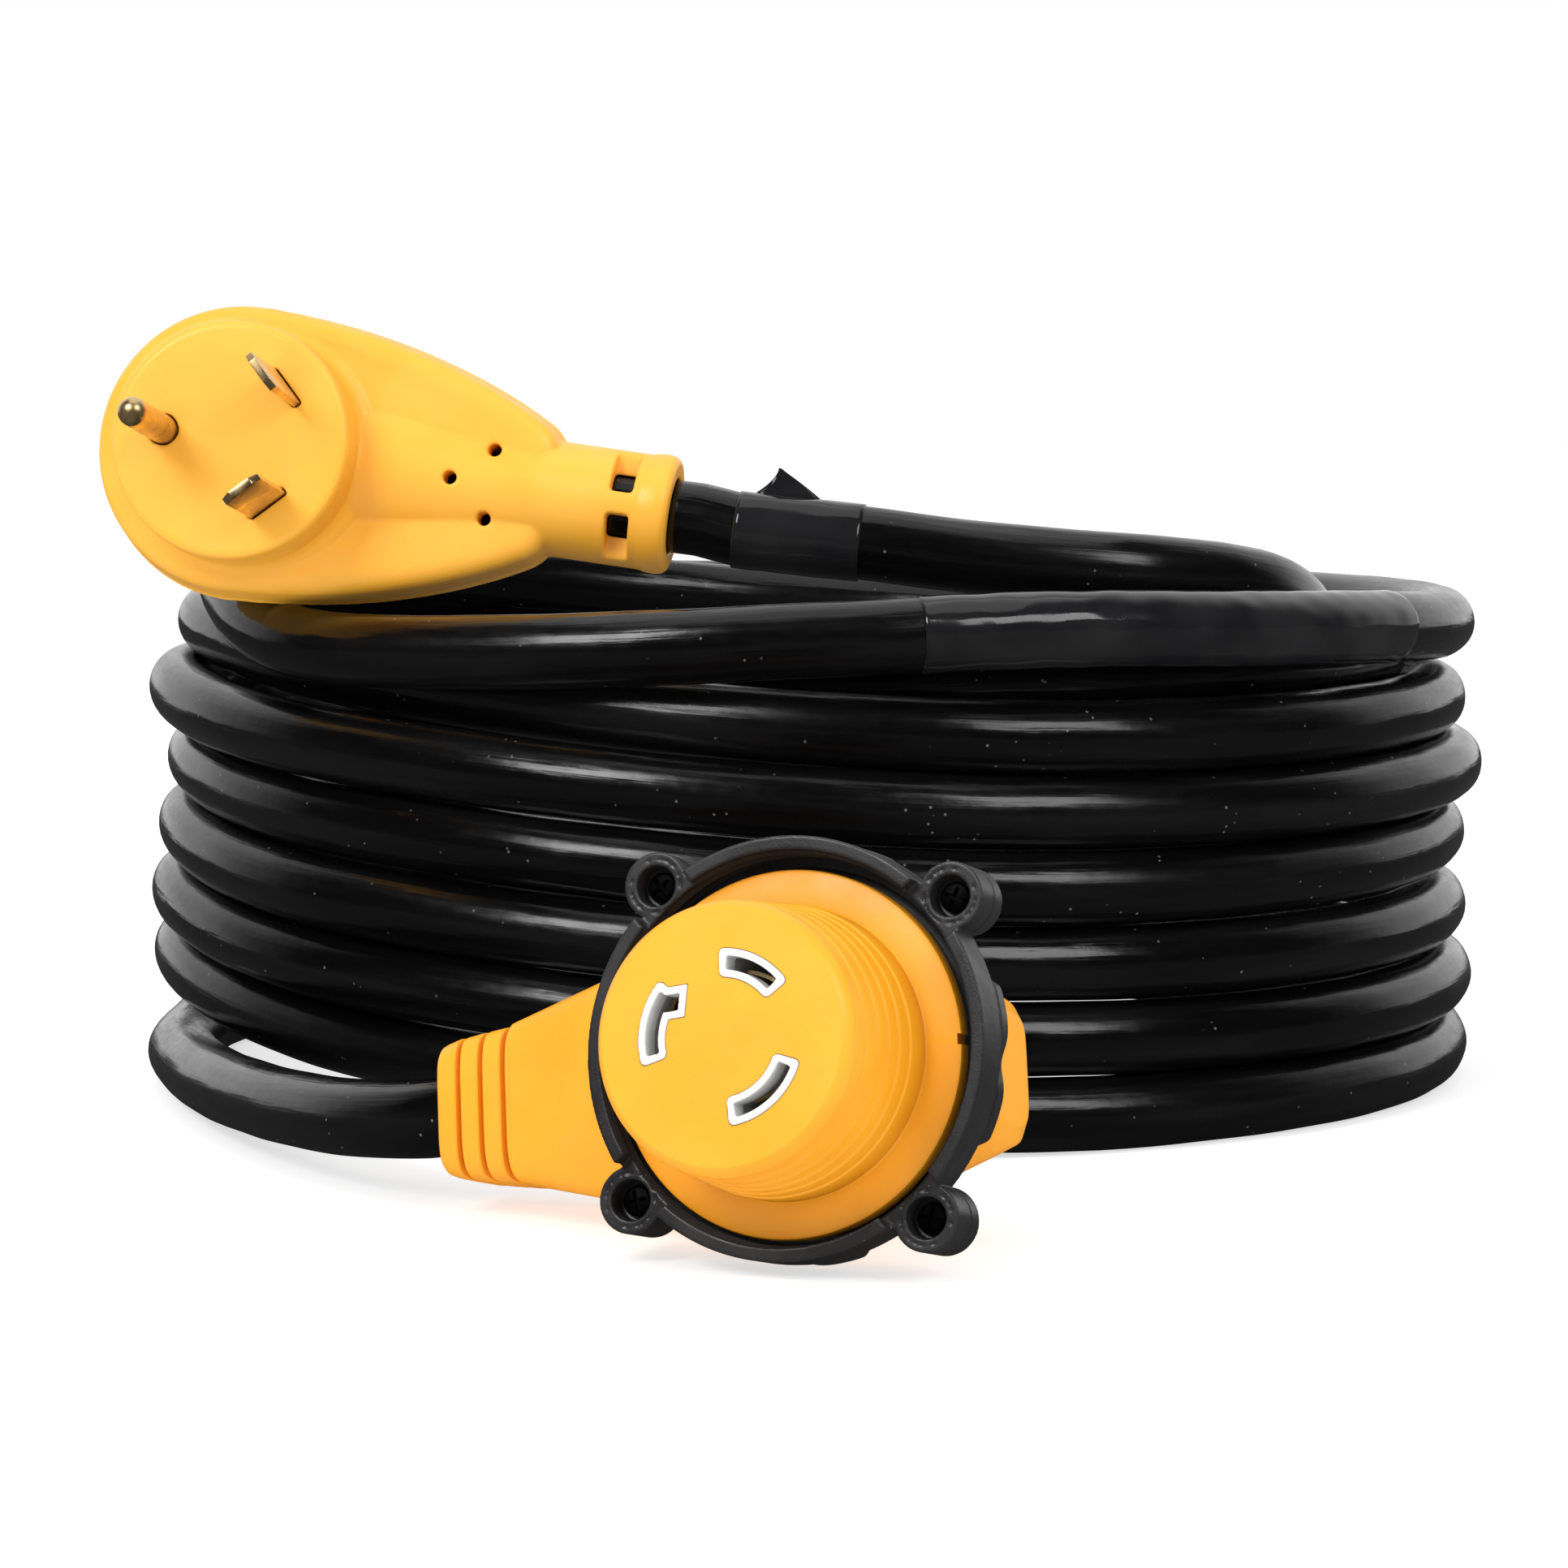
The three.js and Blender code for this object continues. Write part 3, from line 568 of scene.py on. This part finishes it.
def plug_outline():
    """Round head, sides that curve in towards the cable, and rounded corners at the end."""
    side = bezier((63.5, 14.6), (46, 24.5), (23, 30), (2, HEAD_R - 0.2), 26)
    head = [(-1.5 + HEAD_R * math.cos(math.radians(a)), HEAD_R * math.sin(math.radians(a)))
            for a in np.arange(84, 180, 3)]
    corner = bezier((67.2, 0), (67.2, 9), (67, 12.2), (63.5, 14.6), 8)
    upper = corner + side + head
    lower = [(x, -y) for x, y in reversed(upper) if y > 1e-6]
    return upper + [(-1.5 - HEAD_R, 0)] + lower


def inset(outline, distance):
    """The outline moved inwards, or outwards where distance is negative."""
    count, out = len(outline), []
    for i, (x, y) in enumerate(outline):
        (x0, y0), (x1, y1) = outline[i - 1], outline[(i + 1) % count]
        dx, dy = x1 - x0, y1 - y0
        size = math.hypot(dx, dy) or 1.0
        out.append((x - dy / size * distance, y + dx / size * distance))
    return out


def plug_slab():
    """The thick body: drafted sides, biggest at the parting line, and soft edges front and back."""
    edge, outline = 4.2, plug_outline()
    half = BODY_T / 2
    levels = [(half - edge * (1 - math.sin(math.radians(a))), edge * (1 - math.cos(math.radians(a))))
              for a in (90, 72, 54, 36, 18, 0)]
    levels = [(z, d + 0.25) for z, d in levels] + [(4, -0.2), (0.7, -0.5), (0.35, -0.95)]
    levels += [(-z, d) for z, d in reversed(levels)]
    sections = []
    for z, distance in levels:
        ring = inset(outline, distance)
        lean = [min(1.0, (12.6 - 0.05 * (x - 10)) / half) if x > 2 else 1.0 for x, _ in ring]
        sections.append([(x, y, PLUG_AXIS_Z + z * k) for (x, y), k in zip(ring, lean)])
    return loft(sections)


def blade_outline(grow=0.0):
    w = BLADE["half"] + grow
    return w, BLADE["thick"] / 2 + grow


def plug_blade(side):
    """A flat blade with cut tip corners and softened edges."""
    w, t = blade_outline()
    length, cut = BLADE["length"], 1.9
    outline = [(-w, ROOT), (w, ROOT), (w, length - cut), (w - cut, length), (cut - w, length),
               (-w, length - cut)]
    plate = turned(prism(outline, -t, t), 90, "X")
    bm = bmesh.new()
    bm.from_mesh(plate)
    bmesh.ops.bevel(bm, geom=list(bm.edges), offset=0.22, segments=2, affect="EDGES",
                    profile=0.6)
    bm.to_mesh(plate)
    bm.free()
    return shifted(turned(plate, -side * 45), BLADE["x"], side * BLADE["y"])


def plug_body():
    disc = [(0, -20), (28.6, -20), (28.2, -14.9), (26.4, -13.6), (FACE_R + 0.25, -12.2),
            (FACE_R + 0.1, -1.4), (FACE_R - 0.35, -0.45), (FACE_R - 1.3, 0), (0, 0)]
    flare = [(0, 14), (16.4, 15), (16.6, 20), (16.4, 25), (15.6, 33), (14.5, 41), (13.6, 49),
             (12.8, 56), (12.4, 63), (12.4, 70), (12.4, 86.3), (12.7, 87), (12.9, 89.5),
             (12.6, 91.2), (11.6, 92.2), (0, 92.2)]
    rear_of_body = block((10, 66), (-20, 20), (-50, -40))
    fairing = combined(along_x(lathe(flare, 96), PLUG_AXIS_Z), cuts=[rear_of_body])
    cable_bore = along_x(rod(CABLE_R + SLACK, 45.7, PLUG_MOUTH + 3), PLUG_AXIS_Z)
    cuts = [cable_bore, rod(19.3, -34, -3.7)]
    cuts.append(block((4, 47), (-8, 8), (PLUG_AXIS_Z - 6.5, PLUG_AXIS_Z + 6.5)))
    cuts.append(rod(PIN["r"] + 0.25, -6, 1, PIN["x"]))
    for side in (1, -1):
        w, t = blade_outline(0.25)
        opening = turned(block((-w, w), (-t, t), (-6, 1)), -side * 45)
        cuts.append(shifted(opening, BLADE["x"], side * BLADE["y"]))
        for front in (1, -1):
            y = sorted((side * 2.4, side * 14))
            z = sorted((PLUG_AXIS_Z + front * 5, PLUG_AXIS_Z + front * 14))
            cuts.append(block((79.3, 84.3), y, z))
    cuts += [rod(1.5, -30, -5, x, y, 32) for x, y in ((45.3, 0), (53.4, 7.4), (53.4, -7.4))]
    return combined(plug_slab(), [lathe(disc, 128), fairing], cuts, voxel=0.42, rounding=5)


def finger_handle():
    """A finger loop behind the plug: an arch on two feet."""
    rear = -(FACE_H + BODY_T) - 0.25
    top, under = rear - 31, rear - 22
    outer = [(-20, rear), (-20, rear - 14)]
    outer += bezier((-20, rear - 14), (-19.5, rear - 24), (-14, top), (-4, top), 8)
    outer += bezier((24, top), (34, top), (43, rear - 20), (46, rear), 10) + [(46, rear)]
    inner = [(34, rear)] + bezier((34, rear), (32, rear - 13), (29, under), (20, under), 8)
    inner += bezier((0, under), (-6, under), (-10, rear - 18), (-10, rear - 12), 8) + [(-10, rear)]
    arch = turned(prism([(x, z) for x, z in outer + inner], -9, 9), 90, "X")
    return combined(arch, voxel=0.6, rounding=14)


PLUG_PIECES = [
    ("plug_body_shell", plug_body(), yellow, "yellow_overmold", "plug_overmold"),
    ("plug_handle_loop", finger_handle(), yellow, "yellow_overmold", "plug_finger_handle"),
    ("plug_blade_line", plug_blade(1), brass_look, "contact_metal", "plug_line_blade"),
    ("plug_blade_neutral", plug_blade(-1), brass_look, "contact_metal", "plug_neutral_blade"),
]
dome = [math.radians(a) for a in range(0, 90, 10)]
pin_tip = [(PIN["r"] * math.cos(a), PIN["length"] - PIN["r"] * (1 - math.sin(a))) for a in dome]
pin_line = [(0, ROOT), (PIN["r"], ROOT)] + pin_tip + [(0, PIN["length"])]
pin_mesh = shifted(lathe(pin_line, 48), PIN["x"])
PLUG_PIECES.append(("plug_pin_ground", pin_mesh, brass_look, "contact_metal", "plug_ground_pin"))
for name, mesh, look, slot, node in PLUG_PIECES:
    crease = 40 if "blade" in name else None
    piece = new_object(name, mesh, look, place=PLUG, crease=crease)
    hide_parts(node)

# ---- connector --------------------------------------------------------------------------------
NOSE_R, NOSE_L, FLANGE_R, FLANGE_T, THROAT_R = 24.8, 31, 34, 4, 28
RING_R, RING_BORE, RING_FRONT, RING_SPLIT, RING_BACK = 38.9, 36.3, 5, -4.35, -9
SLOT_R, SLOT_W, RIM = 13.3, 2.5, 1.35
NOSE_SHIFT = (-1.1, -0.6)       # the loose ring hangs a little off the nose
SLOTS = [(61.5, 43, False), (165, 48, True), (-53, 55, False)]


def squared(x, half, power=5.5, count=96):
    """A rounded square across the arm, with flats at half from its axis."""
    ring = []
    for i in range(count):
        t = 2 * math.pi * i / count
        c, s = math.cos(t), math.sin(t)
        k = half / (abs(c) ** power + abs(s) ** power) ** (1 / power)
        ring.append((x, ARM_Y + k * c, ARM_Z + k * s))
    return ring


def boot():
    """Three widening segments, each with a groove behind it."""
    mouth = ARM_MOUTH - 0.7
    rings = [(mouth, 11.2), (mouth + 0.35, 12.1), (mouth + 1, 12.8), (mouth + 2, 13.2)]
    for i, half in enumerate((13.9, 14.6, 15.2)):
        end = mouth + 5.1 * (i + 1)
        rings += [(end - 0.4, half), (end - 0.1, half - 0.15), (end + 0.05, half - 0.5),
                  (end + 0.1, half - 1.7), (end + 0.95, half - 1.6), (end + 1, half - 0.2),
                  (end + 1.2, half + 0.15), (end + 1.6, half + 0.25)]
    rings.append((-69, 15.5))
    bore = along_x(rod(CABLE_R + SLACK, ARM_MOUTH - 4, -45), ARM_Z)
    return combined(loft([squared(x, half) for x, half in rings]), cuts=[shifted(bore, y=ARM_Y)])


def connector_hull():
    def shoulder(radius, z):
        """Round behind the ring, with a flat towards the arm and narrower at the far end."""
        ring = []
        for i in range(120):
            c, s = math.cos(2 * math.pi * i / 120), math.sin(2 * math.pi * i / 120)
            far, near = max(0.0, c), max(0.0, -c)
            x, y = (radius - 7 * far) * c, (radius - 7.5 * far - 4 * near) * s
            ring.append((max(x, -31.4), y - 1, z))
        return ring

    points = shoulder(31.5, -10.5) + shoulder(32.5, -12)
    for x, half, power in ((-69.6, 15.6, 8), (19.5, 15.4, 8), (24.6, 13.8, 6), (27, 10.5, 5)):
        points += squared(x, half, power)
    return hull(points)


def connector_body():
    """Shoulder and arm in one moulding, hollow where the contacts and the cable go."""
    throat = rod(THROAT_R, -13, -3.2, sides=96)
    cable_bore = shifted(along_x(rod(CABLE_R + SLACK, ARM_MOUTH - 2, -45), ARM_Z), y=ARM_Y)
    wire_space = block((-47, 0), (-7.5, 7.5), (ARM_Z - 7.5, ARM_Z + 7.5))
    cuts = [cable_bore, rod(20.9, -17, 2), rod(11.5, -46, -16, top=18), wire_space]
    return combined(connector_hull(), [throat], cuts, voxel=0.42, rounding=2)


def polar(r, degrees):
    return (r * math.cos(math.radians(degrees)), r * math.sin(math.radians(degrees)))


def slot_band(angle, span, grow, low, high, soft=0.7):
    """A curved bar about the nose's axis with rounded corners."""
    r1, r0 = SLOT_R + SLOT_W / 2 + grow, SLOT_R - SLOT_W / 2 - grow
    half = math.radians(span / 2) + grow / SLOT_R
    outline = [(r1, t) for t in np.linspace(-half + soft / r1, half - soft / r1, 14)]
    quarter = [math.radians(a) for a in (30, 60)]
    more = [soft * (1 - math.cos(q)) for q in quarter]      # how far the rounding still has to go
    less = [soft * (1 - math.sin(q)) for q in quarter]
    outline += [(r1 - a, half - b / r1) for a, b in zip(more, less)]
    outline += [(r1 - soft, half), (r0 + soft, half)]
    outline += [(r0 + b, half - a / r0) for a, b in zip(more, less)]
    outline += [(r0, t) for t in np.linspace(half - soft / r0, -half + soft / r0, 14)]
    outline += [(r0 + a, -half + b / r0) for a, b in zip(more, less)]
    outline += [(r0 + soft, -half), (r1 - soft, -half)]
    outline += [(r1 - b, -half + a / r1) for a, b in zip(more, less)]
    mid = math.radians(angle)
    corners = [(r * math.cos(mid + t), r * math.sin(mid + t)) for r, t in outline]
    return prism(corners, low, high)


def grown(polygon, distance):
    """A convex polygon, turning left, with its sides moved outwards."""
    out = []
    for i, corner in enumerate(polygon):
        corner = Vector(corner)
        before, after = Vector(polygon[i - 1]), Vector(polygon[(i + 1) % len(polygon)])
        into, away = (corner - before).normalized(), (after - corner).normalized()
        first, second = Vector((into.y, -into.x)), Vector((away.y, -away.x))
        out.append(corner + (first + second) * distance / (1 + first.dot(second)))
    return out


def slot_hook(angle, span, grow, low, high):
    """The foot of an L-shaped slot, which turns in from the slot's end."""
    at = angle - span / 2
    r1, r0 = SLOT_R + SLOT_W / 2, SLOT_R - SLOT_W / 2
    foot = [polar(11.4, at - 9.5), polar(r1 - 1, at + 1), polar(r0, at + 13),
            polar(9.7, at + 4.5)]
    return prism([tuple(p) for p in grown(foot, grow)], low, high)


def slot_shapes(grow, low, high, soft=0.7):
    shapes = [slot_band(angle, span, grow, low, high, soft) for angle, span, _ in SLOTS]
    return shapes + [slot_hook(a, s, grow, low, high) for a, s, hooked in SLOTS if hooked]


def nose_shell():
    """Nose and flange: stepped ribs, a bevelled front and a hollow for the contact carrier."""
    profile = [(20.9, -FLANGE_T), (FLANGE_R - 0.7, -FLANGE_T), (FLANGE_R, -FLANGE_T + 0.7),
               (FLANGE_R, -0.8), (FLANGE_R - 0.25, -0.25), (FLANGE_R - 0.8, 0),
               (NOSE_R + 2.6, 0), (NOSE_R + 2.25, 0.3)]
    for i, z in enumerate((6.8, 11.2, 15.3, 19.6, 24.5)):
        r = NOSE_R + 0.42 * (5 - i)
        profile += [(r + 0.06, z - 0.55), (r - 0.05, z - 0.22), (r - 0.38, z), (r - 0.44, z + 0.15)]
    profile += [(NOSE_R, NOSE_L - 2.6), (NOSE_R - 0.2, NOSE_L - 1.9),
                (NOSE_R - 1.35, NOSE_L - 0.25), (NOSE_R - 1.75, NOSE_L), (0, NOSE_L),
                (0, 27.9), (20.9, 27.9)]
    notch = block((FLANGE_R - 0.9, FLANGE_R + 1), (-1, 1), (-5, 1))
    windows = slot_shapes(RIM + 0.12, 27, NOSE_L + 1, 1.1)
    return combined(lathe(profile, 160, closed=True), cuts=[notch, *windows])


def contact_carrier():
    front = 27.6
    pits = slot_shapes(0.9, 4, front + 1)
    return combined(rod(20.6, -8, front, sides=96), cuts=pits)


def socket_rims():
    rims = slot_shapes(RIM, 26.8, NOSE_L + 0.22, 1.0)
    return combined(rims[0], rims[1:], slot_shapes(0, 20, NOSE_L + 2, 0.35), voxel=0.16, rounding=2)


SHELL = (deep_yellow, "yellow_overmold", "connector_overmold")
INSERT = (white_look, "white_core", "connector_contact_carrier")
CONNECTOR_PIECES = [
    ("connector_body_shell", connector_body(), SHELL, None),
    ("connector_boot", boot(), SHELL, 32),
    ("connector_nose", shifted(nose_shell(), *NOSE_SHIFT), SHELL, 32),
    ("connector_carrier_body", shifted(contact_carrier(), *NOSE_SHIFT), INSERT, 32),
    ("connector_slot_rims", shifted(socket_rims(), *NOSE_SHIFT), INSERT, None),
]
for name, mesh, (look, slot, node), crease in CONNECTOR_PIECES:
    piece = new_object(name, mesh, look, place=CONNECTOR, crease=crease)
    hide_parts(node)

# ---- locking ring -----------------------------------------------------------------------------
EAR = {"at": 41.1, "r": 6.3, "bore": 3.85, "front": 2, "first": 37.8}
EAR_ANGLES = [EAR["first"] + 90 * i for i in range(4)]
THREAD_PITCH, THREAD_DEPTH = 3.4, 0.75


def thread_wave(height, angle):
    turn = (height / THREAD_PITCH - angle / (2 * math.pi)) % 1.0
    fade = min(1.0, max(0.0, (RING_FRONT - 0.5 - height) / 1.2)) if height > 0 else 1.0
    return -THREAD_DEPTH * fade * max(0.0, 1 - abs(turn - 0.5) * 3.4)


def ring_front():
    """The threaded half: a smooth lip with four open notches, and four ears with screw wells."""
    outer = rod(RING_R, RING_SPLIT, RING_FRONT, sides=160)
    bore_line = [(RING_BORE, z) for z in np.arange(RING_SPLIT - 2, RING_FRONT + 2, 0.28)]
    bore_line = [(0, bore_line[0][1])] + bore_line + [(0, bore_line[-1][1])]
    bore = lathe(bore_line, 160, wave=thread_wave)
    joins, cuts = [], [bore]
    for angle in EAR_ANGLES:
        x, y = polar(EAR["at"], angle)
        joins.append(rod(EAR["r"], RING_SPLIT, EAR["front"], x, y, 48))
        cuts.append(turned(block((33, 42), (-6.2, 6.2), (EAR["front"], 7)), angle))
        cuts += [rod(EAR["bore"], -2.4, 7, x, y, 40), rod(1.8, -6, 0, x, y, 24)]
        groove = lathe([(4.75, 1.65), (5.15, 1.65), (5.15, 3), (4.75, 3)], 40, closed=True)
        cuts.append(shifted(groove, x, y))
    return combined(outer, joins, cuts, voxel=0.27, rounding=2)


def grip_radius(angle):
    """Each pad between two ears has two rounded bumps with a dip between them."""
    from_middle = (angle - EAR["first"]) % 90 - 45
    fade = min(1.0, max(0.0, (25.5 - abs(from_middle)) / 5))
    fade = fade * fade * (3 - 2 * fade)
    dip = math.exp(-((from_middle / 5.5) ** 2))
    return 36.9 + fade * (2.1 - 1.4 * dip)


def ring_rear():
    top = RING_SPLIT - 0.3
    rings = [(RING_BACK, -0.7), (RING_BACK + 0.7, 0), (top - 0.35, 0), (top, -0.35)]
    body = loft([[(*polar(grip_radius(a) + d, a), z) for a in range(360)] for z, d in rings])
    joins, cuts = [], [rod(THROAT_R + 0.5, RING_BACK - 1, 0, sides=120)]
    cuts.append(rod(34, RING_BACK + 3.2, 0, sides=120))
    for angle in EAR_ANGLES:
        x, y = polar(EAR["at"], angle)
        joins.append(rod(EAR["r"], RING_BACK, top, x, y, 48))
        cuts.append(rod(1.8, RING_BACK + 1, 0, x, y, 24))
    return combined(body, joins, cuts, voxel=0.3, rounding=3)


def ring_screw(angle):
    """A screw with a cross recess, each turned to a different angle."""
    head = [(0, -7), (1.5, -7), (1.5, -2), (2.85, -2), (2.85, -1.1), (2.6, -0.65), (1.9, -0.4),
            (0, -0.3)]
    wide, narrow, deep = (-1.9, 1.9), (-0.38, 0.38), (-1.3, 1)
    cross = [block(wide, narrow, deep), block(narrow, wide, deep)]
    screw = turned(combined(lathe(head, 40), cuts=cross), angle * 1.7)
    return shifted(screw, *polar(EAR["at"], angle))


RING_PIECES = [
    ("ring_front_half", ring_front(), ring_look, "ring_plastic", "ring_threaded_front"),
    ("ring_rear_half", ring_rear(), ring_look, "ring_plastic", "ring_rear_retainer"),
]
for i, angle in enumerate(EAR_ANGLES, 1):
    name, node = f"ring_screw_black_{i}", f"ring_screw_{i}"
    RING_PIECES.append((name, ring_screw(angle), steel_look, "screw_steel", node))
for name, mesh, look, slot, node in RING_PIECES:
    crease = 35 if "screw" in name else None
    piece = new_object(name, mesh, look, "locking_ring", CONNECTOR, crease)
    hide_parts(node)

# ---- CAD pieces that stay, with their materials -----------------------------------------------
KEPT = {
    "plug_contact_core": white_look, "plug_jacket_end": plain_jacket,
    "connector_jacket_end": plain_jacket, "connector_line_contact": brass_look,
    "connector_ground_contact": brass_look, "connector_neutral_contact": brass_look,
}
for end in ("plug", "connector"):
    for wire, tint in (("ground", "green"), ("line", "black"), ("neutral", "white")):
        KEPT[f"{end}_{wire}_wire"] = wire_looks[tint]
for name, look in KEPT.items():
    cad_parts[name].data.materials.clear()
    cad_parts[name].data.materials.append(look)

# ---- floor and light --------------------------------------------------------------------------


def area_light(name, at, aim, size, power):
    data = bpy.data.lights.new(name, "AREA")
    data.energy, data.size = power, size
    lamp = bpy.data.objects.new(name, data)
    lamp.location = at
    lamp.rotation_euler = (Vector(aim) - Vector(at)).to_track_quat("-Z", "Y").to_euler()
    bpy.context.scene.collection.objects.link(lamp)


def make_world():
    """White behind and at the sides, darker in front, and even for diffuse light."""
    world = bpy.data.worlds.new("world")
    world.use_nodes = True
    tree = world.node_tree
    nodes, links = tree.nodes, tree.links
    back = nodes["Background"]
    back.inputs["Color"].default_value = (1, 1, 1, 1)
    place = nodes.new("ShaderNodeTexCoord")
    split = nodes.new("ShaderNodeSeparateXYZ")
    links.new(place.outputs["Generated"], split.inputs[0])
    glossy = nodes.new("ShaderNodeMapRange")
    glossy.interpolation_type = "SMOOTHSTEP"
    fade = {"From Min": 0.12, "From Max": 0.75, "To Min": 0.015, "To Max": 1.0}
    for key, value in fade.items():
        glossy.inputs[key].default_value = value
    links.new(split.outputs["Y"], glossy.inputs["Value"])
    ray = nodes.new("ShaderNodeLightPath")
    level = nodes.new("ShaderNodeMix")
    links.new(ray.outputs["Is Glossy Ray"], level.inputs[0])
    plain = nodes.new("ShaderNodeMix")
    links.new(ray.outputs["Is Camera Ray"], plain.inputs[0])
    plain.inputs[2].default_value, plain.inputs[3].default_value = FILL, 1.0
    links.new(plain.outputs[0], level.inputs[2])
    links.new(glossy.outputs["Result"], level.inputs[3])
    links.new(level.outputs[0], back.inputs["Strength"])
    bpy.context.scene.world = world


def make_floor():
    """A pale floor that glows a little, and looks dark in reflections."""
    bpy.ops.mesh.primitive_plane_add(size=16, location=(0, 0, 0))
    floor = bpy.context.object
    floor.name = "floor"
    look = Look("floor", roughness=0.7, Specular_IOR_Level=0.1)
    tone = look.ramp(look.noise(3.0), 0.3, 0.7, 0.49, 0.51)
    look.use("Base Color", look.node("CombineColor", Red=tone, Green=tone, Blue=tone).outputs[0])
    look.shader.inputs["Emission Color"].default_value = (1, 1, 1, 1)
    look.shader.inputs["Emission Strength"].default_value = GLOW
    dim = look.node("BsdfDiffuse", Color=(0.06, 0.06, 0.06, 1)).outputs[0]
    ray = look.tree.nodes.new("ShaderNodeLightPath").outputs["Is Glossy Ray"]
    blend = look.tree.nodes.new("ShaderNodeMixShader")
    out = look.tree.nodes["Material Output"].inputs["Surface"]
    for value, socket in ((ray, 0), (look.shader.outputs[0], 1), (dim, 2)):
        look.tree.links.new(value, blend.inputs[socket])
    look.tree.links.new(blend.outputs[0], out)
    floor.data.materials.append(look.made)


FILL, GLOW = 0.77, 0.65     # the world's diffuse light, and the floor's own
make_world()
make_floor()
area_light("key", (-0.95, -1.2, 1.2), (0, 0.02, 0.06), 0.7, 17)
area_light("front_right", (1.0, -1.1, 1.1), (0, 0.05, 0.06), 0.75, 9)
area_light("top", (0.0, 0.1, 1.6), (0, 0.08, 0), 1.2, 4)
bpy.context.scene.view_settings.view_transform = "Standard"

for name in ("connector_body_shell", "connector_boot", "connector_nose"):
    bpy.data.objects[name].visible_glossy = False     # keeps yellow reflections off the black parts
